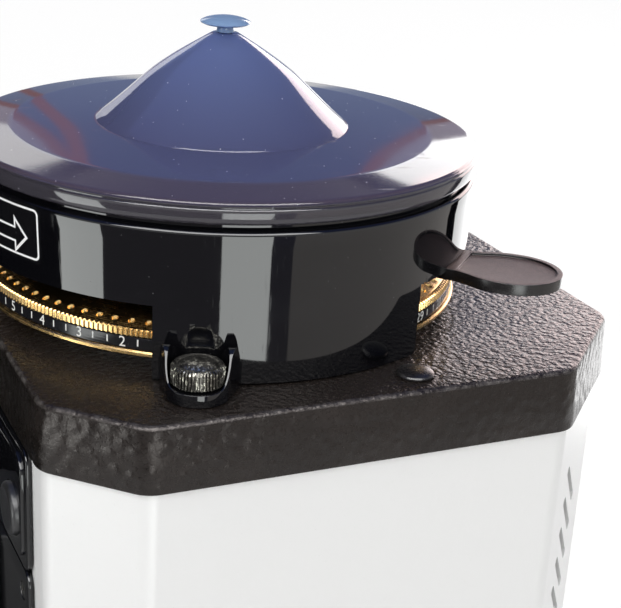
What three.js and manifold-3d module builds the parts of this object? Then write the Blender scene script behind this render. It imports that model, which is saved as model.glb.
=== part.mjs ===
// An on-demand espresso coffee grinder with a short hopper: an eight-sided cast top plate on a white
// casing, a glossy collar with three windows, a graduated brass adjusting ring and a clear peaked lid.
// Millimetres, +Z up, front towards -Y. Pieces are placed from the grinding axis; the whole then moves so
// that the origin is the middle of its footprint, at the surface it stands on.

import * as THREE from 'three';
import { mergeVertices } from 'three/addons/utils/BufferGeometryUtils.js';
import Module from 'manifold-3d';

const wasm = await Module();
wasm.setup();

// Common values
const seatGap = 0.3;
const slideGap = 0.5;
const cutOverrun = 2;
const mergeDistance = 0.0001;
const wideSteps = 40;
const midSteps = 20;
const smallSteps = 10;
const degree = Math.PI / 180;
const cornerLegShare = 2 - Math.SQRT2;

// Heights of the machine, from the surface it stands on
const footHeight = 8;
const baseHeight = 18;
const casingHeight = 302;

// Top plate, from the grinding axis
const plateHalfWidth = 88.8;
const plateFrontDepth = 73.3;
const plateRearDepth = 106.7;
const plateFrontCornerLength = 22;
const plateRearCornerLength = 34;
const plateCornerRadius = 9;
const plateThickness = 7;
const plateSkirtHeight = 18.6;
const plateSkirtWall = 4.5;
const plateEdgeBevel = 1.3;
const plugOffsetY = 27.3;
const plugOffsetX = 78.1;
const plugRadius = 5.2;
const plugHeight = 1.6;
const plugShankRadius = 3;
const plugShankLength = 16;

// Casing
const casingInset = 1.5;
const casingWall = 2.5;
const ventCount = 12;
const ventPitch = 10.3;
const ventRunLength = 15;
const ventDrop = 16.5;
const ventWidth = 3;
const ventTopDrop = 28;
const ventFaceAngle = 135;
const frontWindowHalfWidth = 53;
const frontWindowDepth = 210.6;
const frontWindowRailHeight = 6;

// Base casting, feet and tray
const baseWall = 6;
const apronHalfWidth = 62;
const apronReach = 92;
const apronCornerLength = 14;
const trayHalfWidth = 48;
const trayHeight = 13;
const trayWall = 1.8;
const trayFloorHeight = 6;
const trayLipLength = 6;
const trayLipThickness = 3;
const footRadius = 12;
const footTaperWidth = 2;
const footRearX = 62;
const footRearY = 74;
const footFrontX = 46;
const footInsetY = 18;
const footStudRadius = 3;
const footStudLength = 4;

// Grinding chamber, below the plate's top face
const neckRadius = 59;
const neckBoreRadius = 54;
const neckRise = 4.9;
const chamberFlangeRadius = 67;
const chamberFlangeThickness = 6;
const chamberRadius = 57;
const chamberBoreRadius = 48;
const chamberShoulderDepth = 24;
const chamberFloorDepth = 42.5;
const chamberFloorThickness = 6;
const outletHalfWidth = 15;
const outletTopDepth = 26;
const outletFloorDepth = 42;
const chamberBoltRadius = 2.5;
const chamberBoltCircleRadius = 63;
const chamberBoltCount = 4;
const chamberBoltAngle = 45;
const chamberBoltHeadRadius = 4.2;
const chamberBoltHeadHeight = 3.6;
const chamberBoltDepth = 5;

// Adjusting ring, above the plate's top face
const lipRadius = 71.4;
const lipHeight = 1.5;
const bandSeatRadius = 69.2;
const bandHeight = 3.5;
const bandWall = 1;
const knurlRadius = 70.6;
const knurlDepth = 0.7;
const knurlHeight = 2.4;
const knurlTeeth = 51;
const shoulderRadius = 69.6;
const crownRadius = 60.5;
const crownRise = 2.9;
const ringBoreRadius = 52;
const ringSkirtWall = 5.1;
const ringSkirtDepth = 10;
const dimpleCount = 90;
const dimpleSides = 4;
const dimpleCircleRadius = 67;
const dimpleRadius = 1.1;
const dimpleDepth = 1.1;

// Upper burr carrier and its springs
const threadPlayGap = 0.3;
const carrierRise = 8;
const carrierFlangeDepth = 12;
const carrierFlangeThickness = 5;
const carrierFlangePlayGap = 0.5;
const carrierMouthRadius = 44;
const carrierInletRadius = 21;
const carrierInletDepth = 8;
const carrierSeatDepth = 18;
const carrierSpigotRadius = 46.5;
const springCount = 3;
const springAngle = 30;
const springRadius = 2.2;

// Burrs
const burrRadius = 37.5;
const burrBoreRadius = 23;
const burrThickness = 7.7;
const burrGap = 1.4;
const burrTeeth = 12;
const burrToothDepth = 1.6;
const burrToothWidth = 2.6;
const burrToothLean = 18;
const burrScrewCircleRadius = 30;
const burrScrewRadius = 1.9;
const burrScrewHeadRadius = 3.6;
const burrScrewHeadDepth = 2.2;
const burrScrewLength = 11;
const burrScrewCount = 3;
const burrScrewAngle = 90;
const boltSides = 6;

// Lower burr carrier
const wheelRadius = 41;
const wheelThickness = 5.6;
const wheelHubRadius = 13;
const wheelHubDrop = 1;
const vaneCount = 3;
const vaneAngle = 15;
const vaneReach = 5;
const vaneThickness = 4;
const vaneRise = 6;
const wheelNutRadius = 9;
const wheelNutHeight = 7;

// Motor, hung below the chamber
const shaftRadius = 7;
const shaftTailLength = 20;
const bearingRadius = 17.5;
const bearingHeight = 11;
const bellRadius = 52;
const bellWall = 4;
const bellHeight = 17;
const statorHeight = 74;
const statorWall = 16;
const rotorPlayGap = 0.7;
const rotorInset = 3;
const windingWall = 8;
const windingHeight = 9;
const fanRadius = 49;
const fanHubRadius = 14;
const fanHeight = 12;
const fanBlades = 9;
const fanBladeThickness = 2;
const fanBladeLean = 32;
const fanDrop = 5;

// Collar, above the plate's top face
const collarBaseRadius = 73.8;
const collarTopRadius = 74.8;
const collarHeight = 42.2;
const collarEdgeWidth = 1.2;
const collarSkirtBoreRadius = 71.9;
const collarNeckRadius = 72.2;
const collarNeckHeight = 4;
const bowlRadius = 61.5;
const bowlStraightHeight = 4;
const bowlWall = 3;
const throatRadius = 20;
const throatWall = 6;
const throatFootDepth = 16.6;
const guardLedgeWidth = 2.6;
const guardSeatHeight = 26;
const windowHeight = 21.1;
const windowSweep = 59;
const windowCount = 3;
const windowStart = 27;

// Clamping lugs and thumb screws
const clampAngle = -24.3;
const clampCircleRadius = 81;
const lugHalfWidth = 10.6;
const lugReach = 7.2;
const lugCornerLength = 6;
const lugFloorDepth = 3.6;
const lugEarHeight = 14.6;
const lugEarRunLength = 6.2;
const nicheRadius = 8.9;
const nicheHeight = 17;
const nicheWall = 0.6;
const nicheSteps = 4;
const thumbRadius = 7.7;
const thumbHeight = 5.4;
const thumbTeeth = 18;
const thumbToothDepth = 0.45;
const thumbEdgeWidth = 0.7;
const thumbDishRadius = 5.6;
const thumbDishDepth = 0.9;
const thumbShankRadius = 2.6;
const thumbShankDepth = 12;
const thumbHolePlayGap = 0.35;

// Hopper gate
const gateAngle = 45;
const gateLevelHeight = 19.3;
const gateThickness = 1.5;
const gateHalfWidth = 21.2;
const gateNeckHalfWidth = 8.2;
const gateNeckStart = 24;
const gateTongueReach = 88;
const paddleTopHeight = 22;
const paddleThickness = 3.3;
const paddleTipRadius = 104.6;
const paddleHalfWidth = 13.3;
const paddleRootHalfWidth = 9.4;
const paddleRootRadius = 71;
const paddleDishDepth = 0.7;
const paddleRimWidth = 1.6;
const railWall = 2.6;
const railDrop = 1.2;

// Click plunger that rides on the ring's dimples
const plungerAngle = 240;
const plungerSleeveRadius = 4;
const plungerPinRadius = 1.8;
const plungerSleeveHeight = 14;
const plungerTipLiftHeight = 0.5;
const plungerBossWall = 2;

// Lid
const lidRadius = 75;
const lidThickness = 2.4;
const lidSkirtDrop = 5;
const lidSkirtWall = 2.3;
const lidBrimRise = 3.5;
const lidConeBase = 36.5;
const lidConeTopHeight = 3.8;
const lidConeHeight = 25.3;
const lidConeBulgeWidth = 1.6;
const lidBoreRadius = 1.9;
const lidKnobRadius = 7.3;
const lidKnobDiscHeight = 2.6;
const lidKnobNeckRadius = 2.5;
const lidKnobNeckHeight = 1.9;
const lidStudLength = 6;
const lidStudPlayGap = 0.3;

// Hopper finger guard
const guardHeight = 2;
const guardRingWidth = 2;
const guardBarWidth = 1.8;
const guardPlayGap = 0.4;

// Front panels, spout, fork and switches
const panelHalfWidth = 64.5;
const panelThickness = 2;
const panelSeamDepth = 57.5;
const panelFootDepth = 232;
const panelTopGap = 0.8;
const panelCornerLength = 2;
const padHalfWidth = 57;
const padRise = 1.2;
const padMarginWidth = 1;
const padCornerLength = 5;
const displayHalfWidth = 25;
const displayHeight = 19;
const displayRecessDepth = 0.8;
const displayThickness = 1.2;
const displayDepth = 41;
const buttonRadius = 7.5;
const buttonX = 43;
const buttonProudHeight = 1.8;
const buttonLength = 7;
const buttonTravel = 1;
const carrierStripWall = 2;
const ductWall = 2.4;
const ductTopDepth = 23.5;
const ductRearDepth = 54.6;
const ductFrontDepth = 68.8;
const mouthTopHeight = 66.5;
const mouthBottomHeight = 88;
const spoutHalfWidth = 21;
const spoutReach = 34;
const spoutTopDepth = 62;
const spoutHeadHeight = 31;
const spoutLength = 62;
const spoutOutletWidth = 22;
const spoutWall = 2.5;
const spoutRoundRadius = 12;
const forkDepth = 176;
const forkThickness = 5;
const forkHalfWidth = 41;
const forkBarWidth = 8;
const forkReach = 88;
const forkPlateHeight = 34;
const forkPlateThickness = 4;
const forkHookHeight = 5;
const forkHookLength = 5;
const doseHalfWidth = 11;
const doseHeight = 14;
const doseProudHeight = 9;
const doseLength = 18;
const doseTravel = 3;
const doseRise = 12;
const doseSwitchDepth = 10;

// Rear fittings
const rockerHalfWidth = 7;
const rockerHalfHeight = 11;
const rockerFrameWall = 3;
const rockerFrameDepth = 16;
const rockerFrameFlangeThickness = 2;
const rockerDepth = 6;
const rockerTilt = 8;
const rockerX = -45;
const rearFittingHeight = 62;
const glandX = 45;
const glandRadius = 9;
const glandFlangeRadius = 12.5;
const glandFlangeThickness = 5;
const glandLength = 22;
const glandBoreRadius = 4;

// Capacitor and control board, standing on the base
const capacitorRadius = 20;
const capacitorHeight = 84;
const capacitorX = 42;
const capacitorY = 40;
const boardHalfWidth = 34;
const boardHalfDepth = 24;
const boardThickness = 1.6;
const boardPostRadius = 4;
const boardPostHeight = 9;
const boardX = -30;
const boardY = 20;
const boardChipHeight = 12;
const boardChipHalfWidth = 9;

// Heights that follow
const plateTop = footHeight + baseHeight + casingHeight + plateSkirtHeight;
const baseTop = footHeight + baseHeight;
const casingFront = plateFrontDepth - casingInset;
const casingRear = plateRearDepth - casingInset;
const casingHalfWidth = plateHalfWidth - casingInset;

const trayFront = -casingFront - apronReach - trayLipThickness;
const reachForward = trayLipLength - trayFront;
const reachBack = casingRear + glandLength;
const axisOffset = (reachForward - reachBack) / 2;

// Bare, closed triangle mesh of a geometry, as a solid
function toSolid(geometry) {
  const loose = geometry.index ? geometry.toNonIndexed() : geometry.clone();
  for (const name of Object.keys(loose.attributes)) {
    if (name !== 'position') loose.deleteAttribute(name);
  }
  const merged = mergeVertices(loose, mergeDistance);
  const corners = merged.index.array;
  const points = merged.attributes.position;
  const kept = [];
  const a = new THREE.Vector3();
  const b = new THREE.Vector3();
  const c = new THREE.Vector3();
  let volume = 0;
  for (let i = 0; i < corners.length; i += 3) {
    const [p, q, r] = [corners[i], corners[i + 1], corners[i + 2]];
    if (p === q || q === r || r === p) continue;
    kept.push(p, q, r);
    a.fromBufferAttribute(points, p);
    b.fromBufferAttribute(points, q);
    c.fromBufferAttribute(points, r);
    volume += a.dot(b.cross(c));
  }
  if (volume < 0) kept.reverse();
  const mesh = new wasm.Mesh({
    numProp: 3,
    vertProperties: new Float32Array(points.array),
    triVerts: new Uint32Array(kept),
  });
  return new wasm.Manifold(mesh);
}

function toGeometry(solid) {
  const mesh = solid.getMesh();
  const geometry = new THREE.BufferGeometry();
  geometry.setAttribute('position', new THREE.BufferAttribute(mesh.vertProperties, 3));
  geometry.setIndex(new THREE.BufferAttribute(mesh.triVerts, 1));
  return geometry;
}

// Joins and cuts
function join(...geometries) {
  const solids = geometries.map(toSolid);
  return toGeometry(solids.slice(1).reduce((whole, next) => whole.add(next), solids[0]));
}

function cut(geometry, ...tools) {
  const solids = tools.map(toSolid);
  return toGeometry(solids.reduce((whole, tool) => whole.subtract(tool), toSolid(geometry)));
}

function common(geometry, other) {
  return toGeometry(toSolid(geometry).intersect(toSolid(other)));
}

// Profile of [radius, height] points turned about the Z axis
function revolve(profile, steps = wideSteps) {
  const points = profile.map(([radius, height]) => new THREE.Vector2(radius, height));
  if (THREE.ShapeUtils.isClockWise(points)) points.reverse();
  const [first, last] = [points[0], points[points.length - 1]];
  if (first.x > 0 || last.x > 0) points.push(first.clone());
  return new THREE.LatheGeometry(points, steps).rotateX(Math.PI / 2);
}

// Flat outline raised from one height to another
function prism(shape, bottom, top, curveSegments = 3) {
  const options = { depth: top - bottom, bevelEnabled: false, curveSegments };
  return new THREE.ExtrudeGeometry(shape, options).translate(0, 0, bottom);
}

function block(x0, x1, y0, y1, z0, z1) {
  const box = new THREE.BoxGeometry(x1 - x0, y1 - y0, z1 - z0);
  return box.translate((x0 + x1) / 2, (y0 + y1) / 2, (z0 + z1) / 2);
}

function cylinder(radius, bottom, top, x = 0, y = 0, steps = smallSteps) {
  const round = new THREE.CylinderGeometry(radius, radius, top - bottom, steps);
  return round.rotateX(Math.PI / 2).translate(x, y, (bottom + top) / 2);
}

function tube(outer, inner, bottom, top, steps = midSteps) {
  return revolve([[inner, bottom], [outer, bottom], [outer, top], [inner, top]], steps);
}

function atAngle(geometry, angle) {
  return geometry.rotateZ(angle * degree);
}

function polar(radius, angle) {
  return [radius * Math.cos(angle * degree), radius * Math.sin(angle * degree)];
}

// Angles of pieces spread evenly round the axis
function spread(count, first) {
  return Array.from({ length: count }, (_, i) => first + i * 360 / count);
}

// Outline through the given corners, each rounded off
function roundedOutline(corners, radius) {
  const shape = new THREE.Shape();
  corners.forEach((corner, i) => {
    const here = new THREE.Vector2(...corner);
    const before = new THREE.Vector2(...corners[(i + corners.length - 1) % corners.length]);
    const after = new THREE.Vector2(...corners[(i + 1) % corners.length]);
    const back = before.clone().sub(here).normalize();
    const ahead = after.clone().sub(here).normalize();
    const half = Math.acos(back.dot(ahead)) / 2;
    const reach = radius / Math.tan(half);
    const start = here.clone().addScaledVector(back, reach);
    const end = here.clone().addScaledVector(ahead, reach);
    if (i === 0) shape.moveTo(start.x, start.y);
    else shape.lineTo(start.x, start.y);
    shape.quadraticCurveTo(here.x, here.y, end.x, end.y);
  });
  shape.closePath();
  return shape;
}

// Eight-sided outline of the plate, drawn in by an inset
function octagon(inset, radius) {
  const halfWidth = plateHalfWidth - inset;
  const front = plateFrontDepth - inset;
  const rear = plateRearDepth - inset;
  const frontLeg = plateFrontCornerLength - inset * cornerLegShare;
  const rearLeg = plateRearCornerLength - inset * cornerLegShare;
  const corners = [
    [halfWidth - frontLeg, -front],
    [halfWidth, -front + frontLeg],
    [halfWidth, rear - rearLeg],
    [halfWidth - rearLeg, rear],
    [-halfWidth + rearLeg, rear],
    [-halfWidth, rear - rearLeg],
    [-halfWidth, -front + frontLeg],
    [-halfWidth + frontLeg, -front],
  ];
  return roundedOutline(corners, radius);
}

// Star outline of straight knurling
function knurl(radius, depth, teeth) {
  const shape = new THREE.Shape();
  for (let i = 0; i < teeth; i += 1) {
    const tip = polar(radius, i * 360 / teeth);
    const root = polar(radius - depth, (i + 1 / 2) * 360 / teeth);
    if (i === 0) shape.moveTo(...tip);
    else shape.lineTo(...tip);
    shape.lineTo(...root);
  }
  shape.closePath();
  return shape;
}

// Colours and finishes
const finishes = {
  wrinkleBlack: { color: 0x1b1a19, roughness: 0.55, metalness: 0.1 },
  white: { color: 0xf2f2f0, roughness: 0.35, metalness: 0 },
  glossBlack: { color: 0x0b0b0d, roughness: 0.08, metalness: 0 },
  mattBlack: { color: 0x161616, roughness: 0.6, metalness: 0 },
  brass: { color: 0xc79a52, roughness: 0.3, metalness: 1 },
  bandBlack: { color: 0x101012, roughness: 0.4, metalness: 0 },
  clear: { color: 0xb9bfe6, roughness: 0.05, metalness: 0 },
  steel: { color: 0x9c9c9e, roughness: 0.35, metalness: 1 },
  darkSteel: { color: 0x3a3836, roughness: 0.4, metalness: 1 },
  aluminium: { color: 0xb4b5b7, roughness: 0.45, metalness: 1 },
  copper: { color: 0xb46a3c, roughness: 0.4, metalness: 1 },
  rubber: { color: 0x191919, roughness: 0.9, metalness: 0 },
  paddle: { color: 0x4b423f, roughness: 0.7, metalness: 0 },
  board: { color: 0x2b5a3c, roughness: 0.6, metalness: 0 },
  glass: { color: 0x0d1418, roughness: 0.05, metalness: 0 },
};

function node(name, geometry, finish) {
  const material = new THREE.MeshStandardMaterial(finishes[finish]);
  const mesh = new THREE.Mesh(geometry, material);
  mesh.name = name;
  return mesh;
}

// Top plate: rounded top edge, hollow underside, bores for the neck and the screws
function topPlate() {
  const options = {
    depth: plateSkirtHeight,
    bevelEnabled: true,
    bevelThickness: plateEdgeBevel,
    bevelSize: plateEdgeBevel,
    bevelSegments: 2,
    curveSegments: 3,
  };
  const outline = octagon(plateEdgeBevel, plateCornerRadius);
  const slab = new THREE.ExtrudeGeometry(outline, options);
  slab.translate(0, 0, -plateSkirtHeight - plateEdgeBevel);
  const below = prism(octagon(-cutOverrun, plateCornerRadius),
    -plateSkirtHeight - plateEdgeBevel - cutOverrun, -plateSkirtHeight);
  const hollow = prism(octagon(plateSkirtWall, plateCornerRadius - plateSkirtWall),
    -plateSkirtHeight - cutOverrun, -plateThickness);
  const bore = cylinder(neckRadius + seatGap, -plateSkirtHeight, cutOverrun, 0, 0, wideSteps);
  const holes = clampAngles().map((angle) => cylinder(thumbShankRadius + thumbHolePlayGap,
    -plateSkirtHeight, cutOverrun, ...polar(clampCircleRadius, angle)));
  const plugs = plugPlaces().map(([x, y]) => cylinder(plugShankRadius + seatGap,
    -plateSkirtHeight, cutOverrun, x, y));
  const bolts = chamberBoltPlaces().map(([x, y]) => cylinder(chamberBoltRadius + seatGap,
    -plateThickness - cutOverrun, -plateThickness + chamberBoltDepth, x, y, smallSteps));
  return cut(slab, below, hollow, bore, ...holes, ...plugs, ...bolts);
}

function clampAngles() {
  return spread(windowCount, clampAngle);
}

function plugPlaces() {
  return [[plugOffsetX, plugOffsetY], [-plugOffsetX, plugOffsetY]];
}

function chamberBoltPlaces() {
  return spread(chamberBoltCount, chamberBoltAngle).map((angle) => polar(chamberBoltCircleRadius, angle));
}

// Domed screw that holds the plate down
function plateScrew([x, y]) {
  const profile = [[0, -plugShankLength], [plugShankRadius, -plugShankLength],
    [plugShankRadius, seatGap], [plugRadius, seatGap], [plugRadius, plugHeight / 2],
    [plugRadius * 2 / 3, plugHeight], [0, plugHeight + seatGap]];
  return revolve(profile, smallSteps).translate(x, y, 0);
}

// White casing: an eight-sided wall with louvres in its rear corners and a window for the panels
function casing() {
  const bottom = baseTop + seatGap;
  const top = plateTop - plateSkirtHeight - seatGap;
  const outer = prism(octagon(casingInset, plateCornerRadius - casingInset), bottom, top);
  const inset = casingInset + casingWall;
  const inner = prism(octagon(inset, plateCornerRadius - inset), bottom - cutOverrun, top + cutOverrun);
  const sill = plateTop - frontWindowDepth;
  const front = block(-frontWindowHalfWidth, frontWindowHalfWidth, -casingFront - cutOverrun,
    -casingFront + casingWall + cutOverrun, sill, top - frontWindowRailHeight);
  const fittings = baseTop + rearFittingHeight;
  const rocker = block(rockerX - rockerHalfWidth - rockerFrameWall - seatGap,
    rockerX + rockerHalfWidth + rockerFrameWall + seatGap,
    casingRear - casingWall - cutOverrun, casingRear + cutOverrun,
    fittings - rockerHalfHeight - rockerFrameWall - seatGap,
    fittings + rockerHalfHeight + rockerFrameWall + seatGap);
  const gland = cylinder(glandRadius + seatGap, -casingWall - cutOverrun, cutOverrun)
    .rotateX(-Math.PI / 2).translate(glandX, casingRear, fittings);
  return cut(outer, inner, front, rocker, gland, ...louvres(top));
}

// Slanted slots through the middle of both rear corner faces
function louvres(top) {
  const slots = [];
  const leg = plateRearCornerLength - casingInset * cornerLegShare;
  const middle = [casingHalfWidth - leg / 2, casingRear - leg / 2];
  const length = Math.hypot(ventRunLength, ventDrop);
  const depth = casingWall + 2 * cutOverrun;
  for (const side of [1, -1]) {
    for (let i = 0; i < ventCount; i += 1) {
      const slot = new THREE.Shape();
      const reach = (length - ventWidth) / 2;
      slot.absarc(reach, 0, ventWidth / 2, -Math.PI / 2, Math.PI / 2);
      slot.absarc(-reach, 0, ventWidth / 2, Math.PI / 2, Math.PI * 3 / 2);
      const cutter = prism(slot, -depth / 2, depth / 2, 2);
      cutter.rotateZ(-side * Math.atan2(ventDrop, ventRunLength));
      cutter.rotateX(Math.PI / 2);
      cutter.rotateZ(side * ventFaceAngle * degree);
      cutter.translate(side * middle[0], middle[1], top - ventTopDrop - i * ventPitch);
      slots.push(cutter);
    }
  }
  return slots;
}

// Base casting: body outline and apron, hollow below, with a channel for the tray
function base() {
  const body = prism(octagon(casingInset, plateCornerRadius), footHeight, baseTop);
  const front = -casingFront - apronReach;
  const apron = roundedOutline([[-apronHalfWidth, front], [apronHalfWidth, front],
    [apronHalfWidth, -casingFront + plateFrontCornerLength + apronCornerLength],
    [-apronHalfWidth, -casingFront + plateFrontCornerLength + apronCornerLength]], apronCornerLength);
  const whole = join(body, prism(apron, footHeight, baseTop));
  const hollow = prism(octagon(casingInset + baseWall, plateCornerRadius), footHeight - cutOverrun,
    baseTop - baseWall);
  const channel = block(-trayHalfWidth - slideGap, trayHalfWidth + slideGap, front - cutOverrun,
    -casingFront - trayLipThickness, footHeight + trayFloorHeight, baseTop + cutOverrun);
  const posts = boardCorners().map(([x, y]) => cylinder(boardPostRadius, baseTop - baseWall / 2,
    baseTop + boardPostHeight, x, y, smallSteps));
  const studs = footPlaces().map(([x, y]) => cylinder(footStudRadius + seatGap,
    footHeight - cutOverrun, footHeight + footStudLength + seatGap, x, y));
  const bosses = footPlaces().slice(0, 2).map(([x, y]) => cylinder(footRadius, footHeight,
    baseTop - baseWall / 2, x, y));
  return cut(join(cut(whole, hollow, channel), ...posts, ...bosses), ...studs);
}

function footPlaces() {
  const front = -casingFront - apronReach + footInsetY;
  return [[footRearX, footRearY], [-footRearX, footRearY], [footFrontX, front], [-footFrontX, front]];
}

function foot([x, y]) {
  const top = footHeight - seatGap;
  const profile = [[0, 0], [footRadius - footTaperWidth, 0], [footRadius, top / 2], [footRadius, top],
    [footStudRadius, top], [footStudRadius, footHeight + footStudLength],
    [0, footHeight + footStudLength]];
  return revolve(profile, smallSteps).translate(x, y, 0);
}

// Pull-out tray with a finger lip
function tray() {
  const front = trayFront;
  const back = -casingFront - trayLipThickness - slideGap;
  const floor = footHeight + trayFloorHeight + seatGap;
  const outer = block(-trayHalfWidth, trayHalfWidth, front, back, floor, floor + trayHeight);
  const inner = block(-trayHalfWidth + trayWall, trayHalfWidth - trayWall, front + trayLipThickness,
    back - trayWall, floor + trayWall, floor + trayHeight + cutOverrun);
  const lip = block(-trayHalfWidth / 2, trayHalfWidth / 2, front - trayLipLength,
    front + trayLipThickness / 2,
    floor + trayHeight - trayLipThickness, floor + trayHeight);
  return join(cut(outer, inner), lip);
}

// Grinding chamber: neck through the plate, flange below it, cup with a front outlet
function chamber() {
  const flangeTop = -plateThickness - seatGap;
  const flangeBottom = flangeTop - chamberFlangeThickness;
  const floor = -chamberFloorDepth;
  const profile = [[shaftRadius + slideGap, floor - chamberFloorThickness],
    [chamberRadius, floor - chamberFloorThickness], [chamberRadius, flangeBottom],
    [chamberFlangeRadius, flangeBottom], [chamberFlangeRadius, flangeTop], [neckRadius, flangeTop],
    [neckRadius, neckRise], [neckBoreRadius, neckRise], [neckBoreRadius, -chamberShoulderDepth],
    [chamberBoreRadius, -chamberShoulderDepth], [chamberBoreRadius, floor],
    [shaftRadius + slideGap, floor]];
  const outlet = block(-outletHalfWidth, outletHalfWidth, -chamberRadius - cutOverrun,
    -chamberBoreRadius / 2, -outletFloorDepth, -outletTopDepth);
  const bolts = chamberBoltPlaces().map(([x, y]) => cylinder(chamberBoltRadius + seatGap,
    flangeBottom - cutOverrun, flangeTop + cutOverrun, x, y));
  return cut(revolve(profile, wideSteps * 3 / 4), outlet, ...bolts);
}

function chamberBolt([x, y]) {
  const flangeBottom = -plateThickness - seatGap - chamberFlangeThickness;
  const headTop = flangeBottom - seatGap;
  return join(cylinder(chamberBoltHeadRadius, headTop - chamberBoltHeadHeight, headTop, x, y, boltSides),
    cylinder(chamberBoltRadius, headTop - chamberBoltHeadHeight / 2,
      -plateThickness + chamberBoltDepth - seatGap, x, y, smallSteps / 2));
}

// Heights of the adjusting ring
const lipBottom = neckRise + seatGap;
const lipTop = lipBottom + lipHeight;
const bandTop = lipTop + bandHeight;
const knurlTop = bandTop + knurlHeight;
const crownTop = knurlTop + crownRise;

// Adjusting ring: lip, band seat, knurl, sloping crown with click dimples, threaded skirt
function adjustRing() {
  const skirtOuter = neckBoreRadius - slideGap;
  const skirtInner = skirtOuter - ringSkirtWall;
  const profile = [[skirtInner, -ringSkirtDepth], [skirtOuter, -ringSkirtDepth],
    [skirtOuter, lipBottom], [lipRadius, lipBottom], [lipRadius, lipTop], [bandSeatRadius, lipTop],
    [bandSeatRadius, bandTop + knurlHeight / 2], [shoulderRadius, bandTop + knurlHeight / 2],
    [shoulderRadius, knurlTop], [crownRadius, crownTop], [ringBoreRadius, crownTop],
    [ringBoreRadius, lipTop + bandHeight], [skirtInner, lipTop]];
  const turned = revolve(profile);
  const teeth = prism(knurl(knurlRadius, knurlDepth, knurlTeeth), bandTop, knurlTop);
  const middle = cylinder(bandSeatRadius - knurlDepth, bandTop - cutOverrun, knurlTop + cutOverrun,
    0, 0, wideSteps);
  const slope = crownRise / (shoulderRadius - crownRadius);
  const level = knurlTop + (shoulderRadius - dimpleCircleRadius) * slope;
  const dimples = [];
  for (let i = 0; i < dimpleCount; i += 1) {
    const cone = new THREE.ConeGeometry(dimpleRadius * 2, dimpleDepth * 2, dimpleSides);
    cone.rotateX(-Math.PI / 2);
    const [x, y] = polar(dimpleCircleRadius, (i + 1 / 2) * 360 / dimpleCount);
    dimples.push(cone.translate(x, y, level));
  }
  return cut(join(turned, cut(teeth, middle)), ...dimples);
}

function numberBand() {
  const inner = bandSeatRadius + seatGap;
  return tube(inner + bandWall, inner, lipTop + seatGap / 2, bandTop - seatGap / 2, wideSteps);
}

// Upper burr carrier: threaded rim, bean inlet, spring flange and burr seat
const carrierRadius = neckBoreRadius - slideGap - ringSkirtWall - threadPlayGap;
const carrierFlangeRadius = neckBoreRadius - carrierFlangePlayGap;
const carrierFlangeBottom = -carrierFlangeDepth - carrierFlangeThickness;

function upperCarrier() {
  const profile = [[carrierInletRadius, -carrierSeatDepth], [carrierSpigotRadius, -carrierSeatDepth],
    [carrierSpigotRadius, carrierFlangeBottom], [carrierFlangeRadius, carrierFlangeBottom],
    [carrierFlangeRadius, -carrierFlangeDepth], [carrierRadius, -carrierFlangeDepth],
    [carrierRadius, carrierRise], [carrierMouthRadius, carrierRise],
    [carrierInletRadius, -carrierInletDepth]];
  const holes = burrScrewPlaces().map(([x, y]) => cylinder(burrScrewRadius + seatGap,
    -carrierSeatDepth - cutOverrun, carrierRise, x, y, smallSteps / 2));
  return cut(revolve(profile, wideSteps * 3 / 4), ...holes);
}

function burrScrewPlaces() {
  return spread(burrScrewCount, burrScrewAngle).map((angle) => polar(burrScrewCircleRadius, angle));
}

// Springs that stand on the chamber's shoulder and press the carrier up
function carrierSpring(angle) {
  const place = polar((neckBoreRadius + chamberBoreRadius) / 2, angle);
  return cylinder(springRadius, -chamberShoulderDepth + seatGap, carrierFlangeBottom - seatGap,
    ...place, smallSteps / 2);
}

// Burr: a flat ring whose face is cut by leaning grooves, with its screws sunk in the face
function burr(facing) {
  const back = 0;
  const face = facing * burrThickness;
  const low = Math.min(back, face);
  const high = Math.max(back, face);
  const ring = tube(burrRadius, burrBoreRadius, low, high, midSteps);
  const dished = revolve([[burrBoreRadius - cutOverrun, face],
    [burrBoreRadius + (burrRadius - burrBoreRadius) * 2 / 3, face],
    [burrBoreRadius - cutOverrun, face - facing * burrToothDepth * 2]], midSteps);
  const grooves = [];
  for (let i = 0; i < burrTeeth; i += 1) {
    const groove = block(burrBoreRadius - cutOverrun, burrRadius + cutOverrun,
      -burrToothWidth / 2, burrToothWidth / 2, -burrToothDepth, burrToothDepth);
    groove.rotateX(Math.PI / 4);
    groove.translate(-burrBoreRadius, 0, 0).rotateZ(burrToothLean * degree);
    groove.translate(burrBoreRadius, 0, face);
    grooves.push(atAngle(groove, i * 360 / burrTeeth));
  }
  const sunk = face - facing * (burrScrewHeadDepth + burrToothDepth);
  const tail = face - facing * burrScrewLength;
  const pockets = burrScrewPlaces().map(([x, y]) => cylinder(burrScrewHeadRadius + seatGap,
    Math.min(sunk, face + facing * cutOverrun), Math.max(sunk, face + facing * cutOverrun), x, y));
  const screws = burrScrewPlaces().map(([x, y]) => join(
    cylinder(burrScrewHeadRadius, Math.min(sunk - facing * seatGap, face - facing * burrToothDepth),
      Math.max(sunk - facing * seatGap, face - facing * burrToothDepth), x, y, smallSteps / 2),
    cylinder(burrScrewRadius, Math.min(tail, sunk), Math.max(tail, sunk), x, y, smallSteps / 2)));
  return join(cut(ring, dished, ...grooves, ...pockets), ...screws);
}

// Heights in the chamber
const upperBurrBack = -carrierSeatDepth - seatGap;
const lowerBurrBack = upperBurrBack - burrThickness - burrGap - burrThickness;
const wheelTop = lowerBurrBack - seatGap;
const wheelBottom = wheelTop - wheelThickness;

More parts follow.
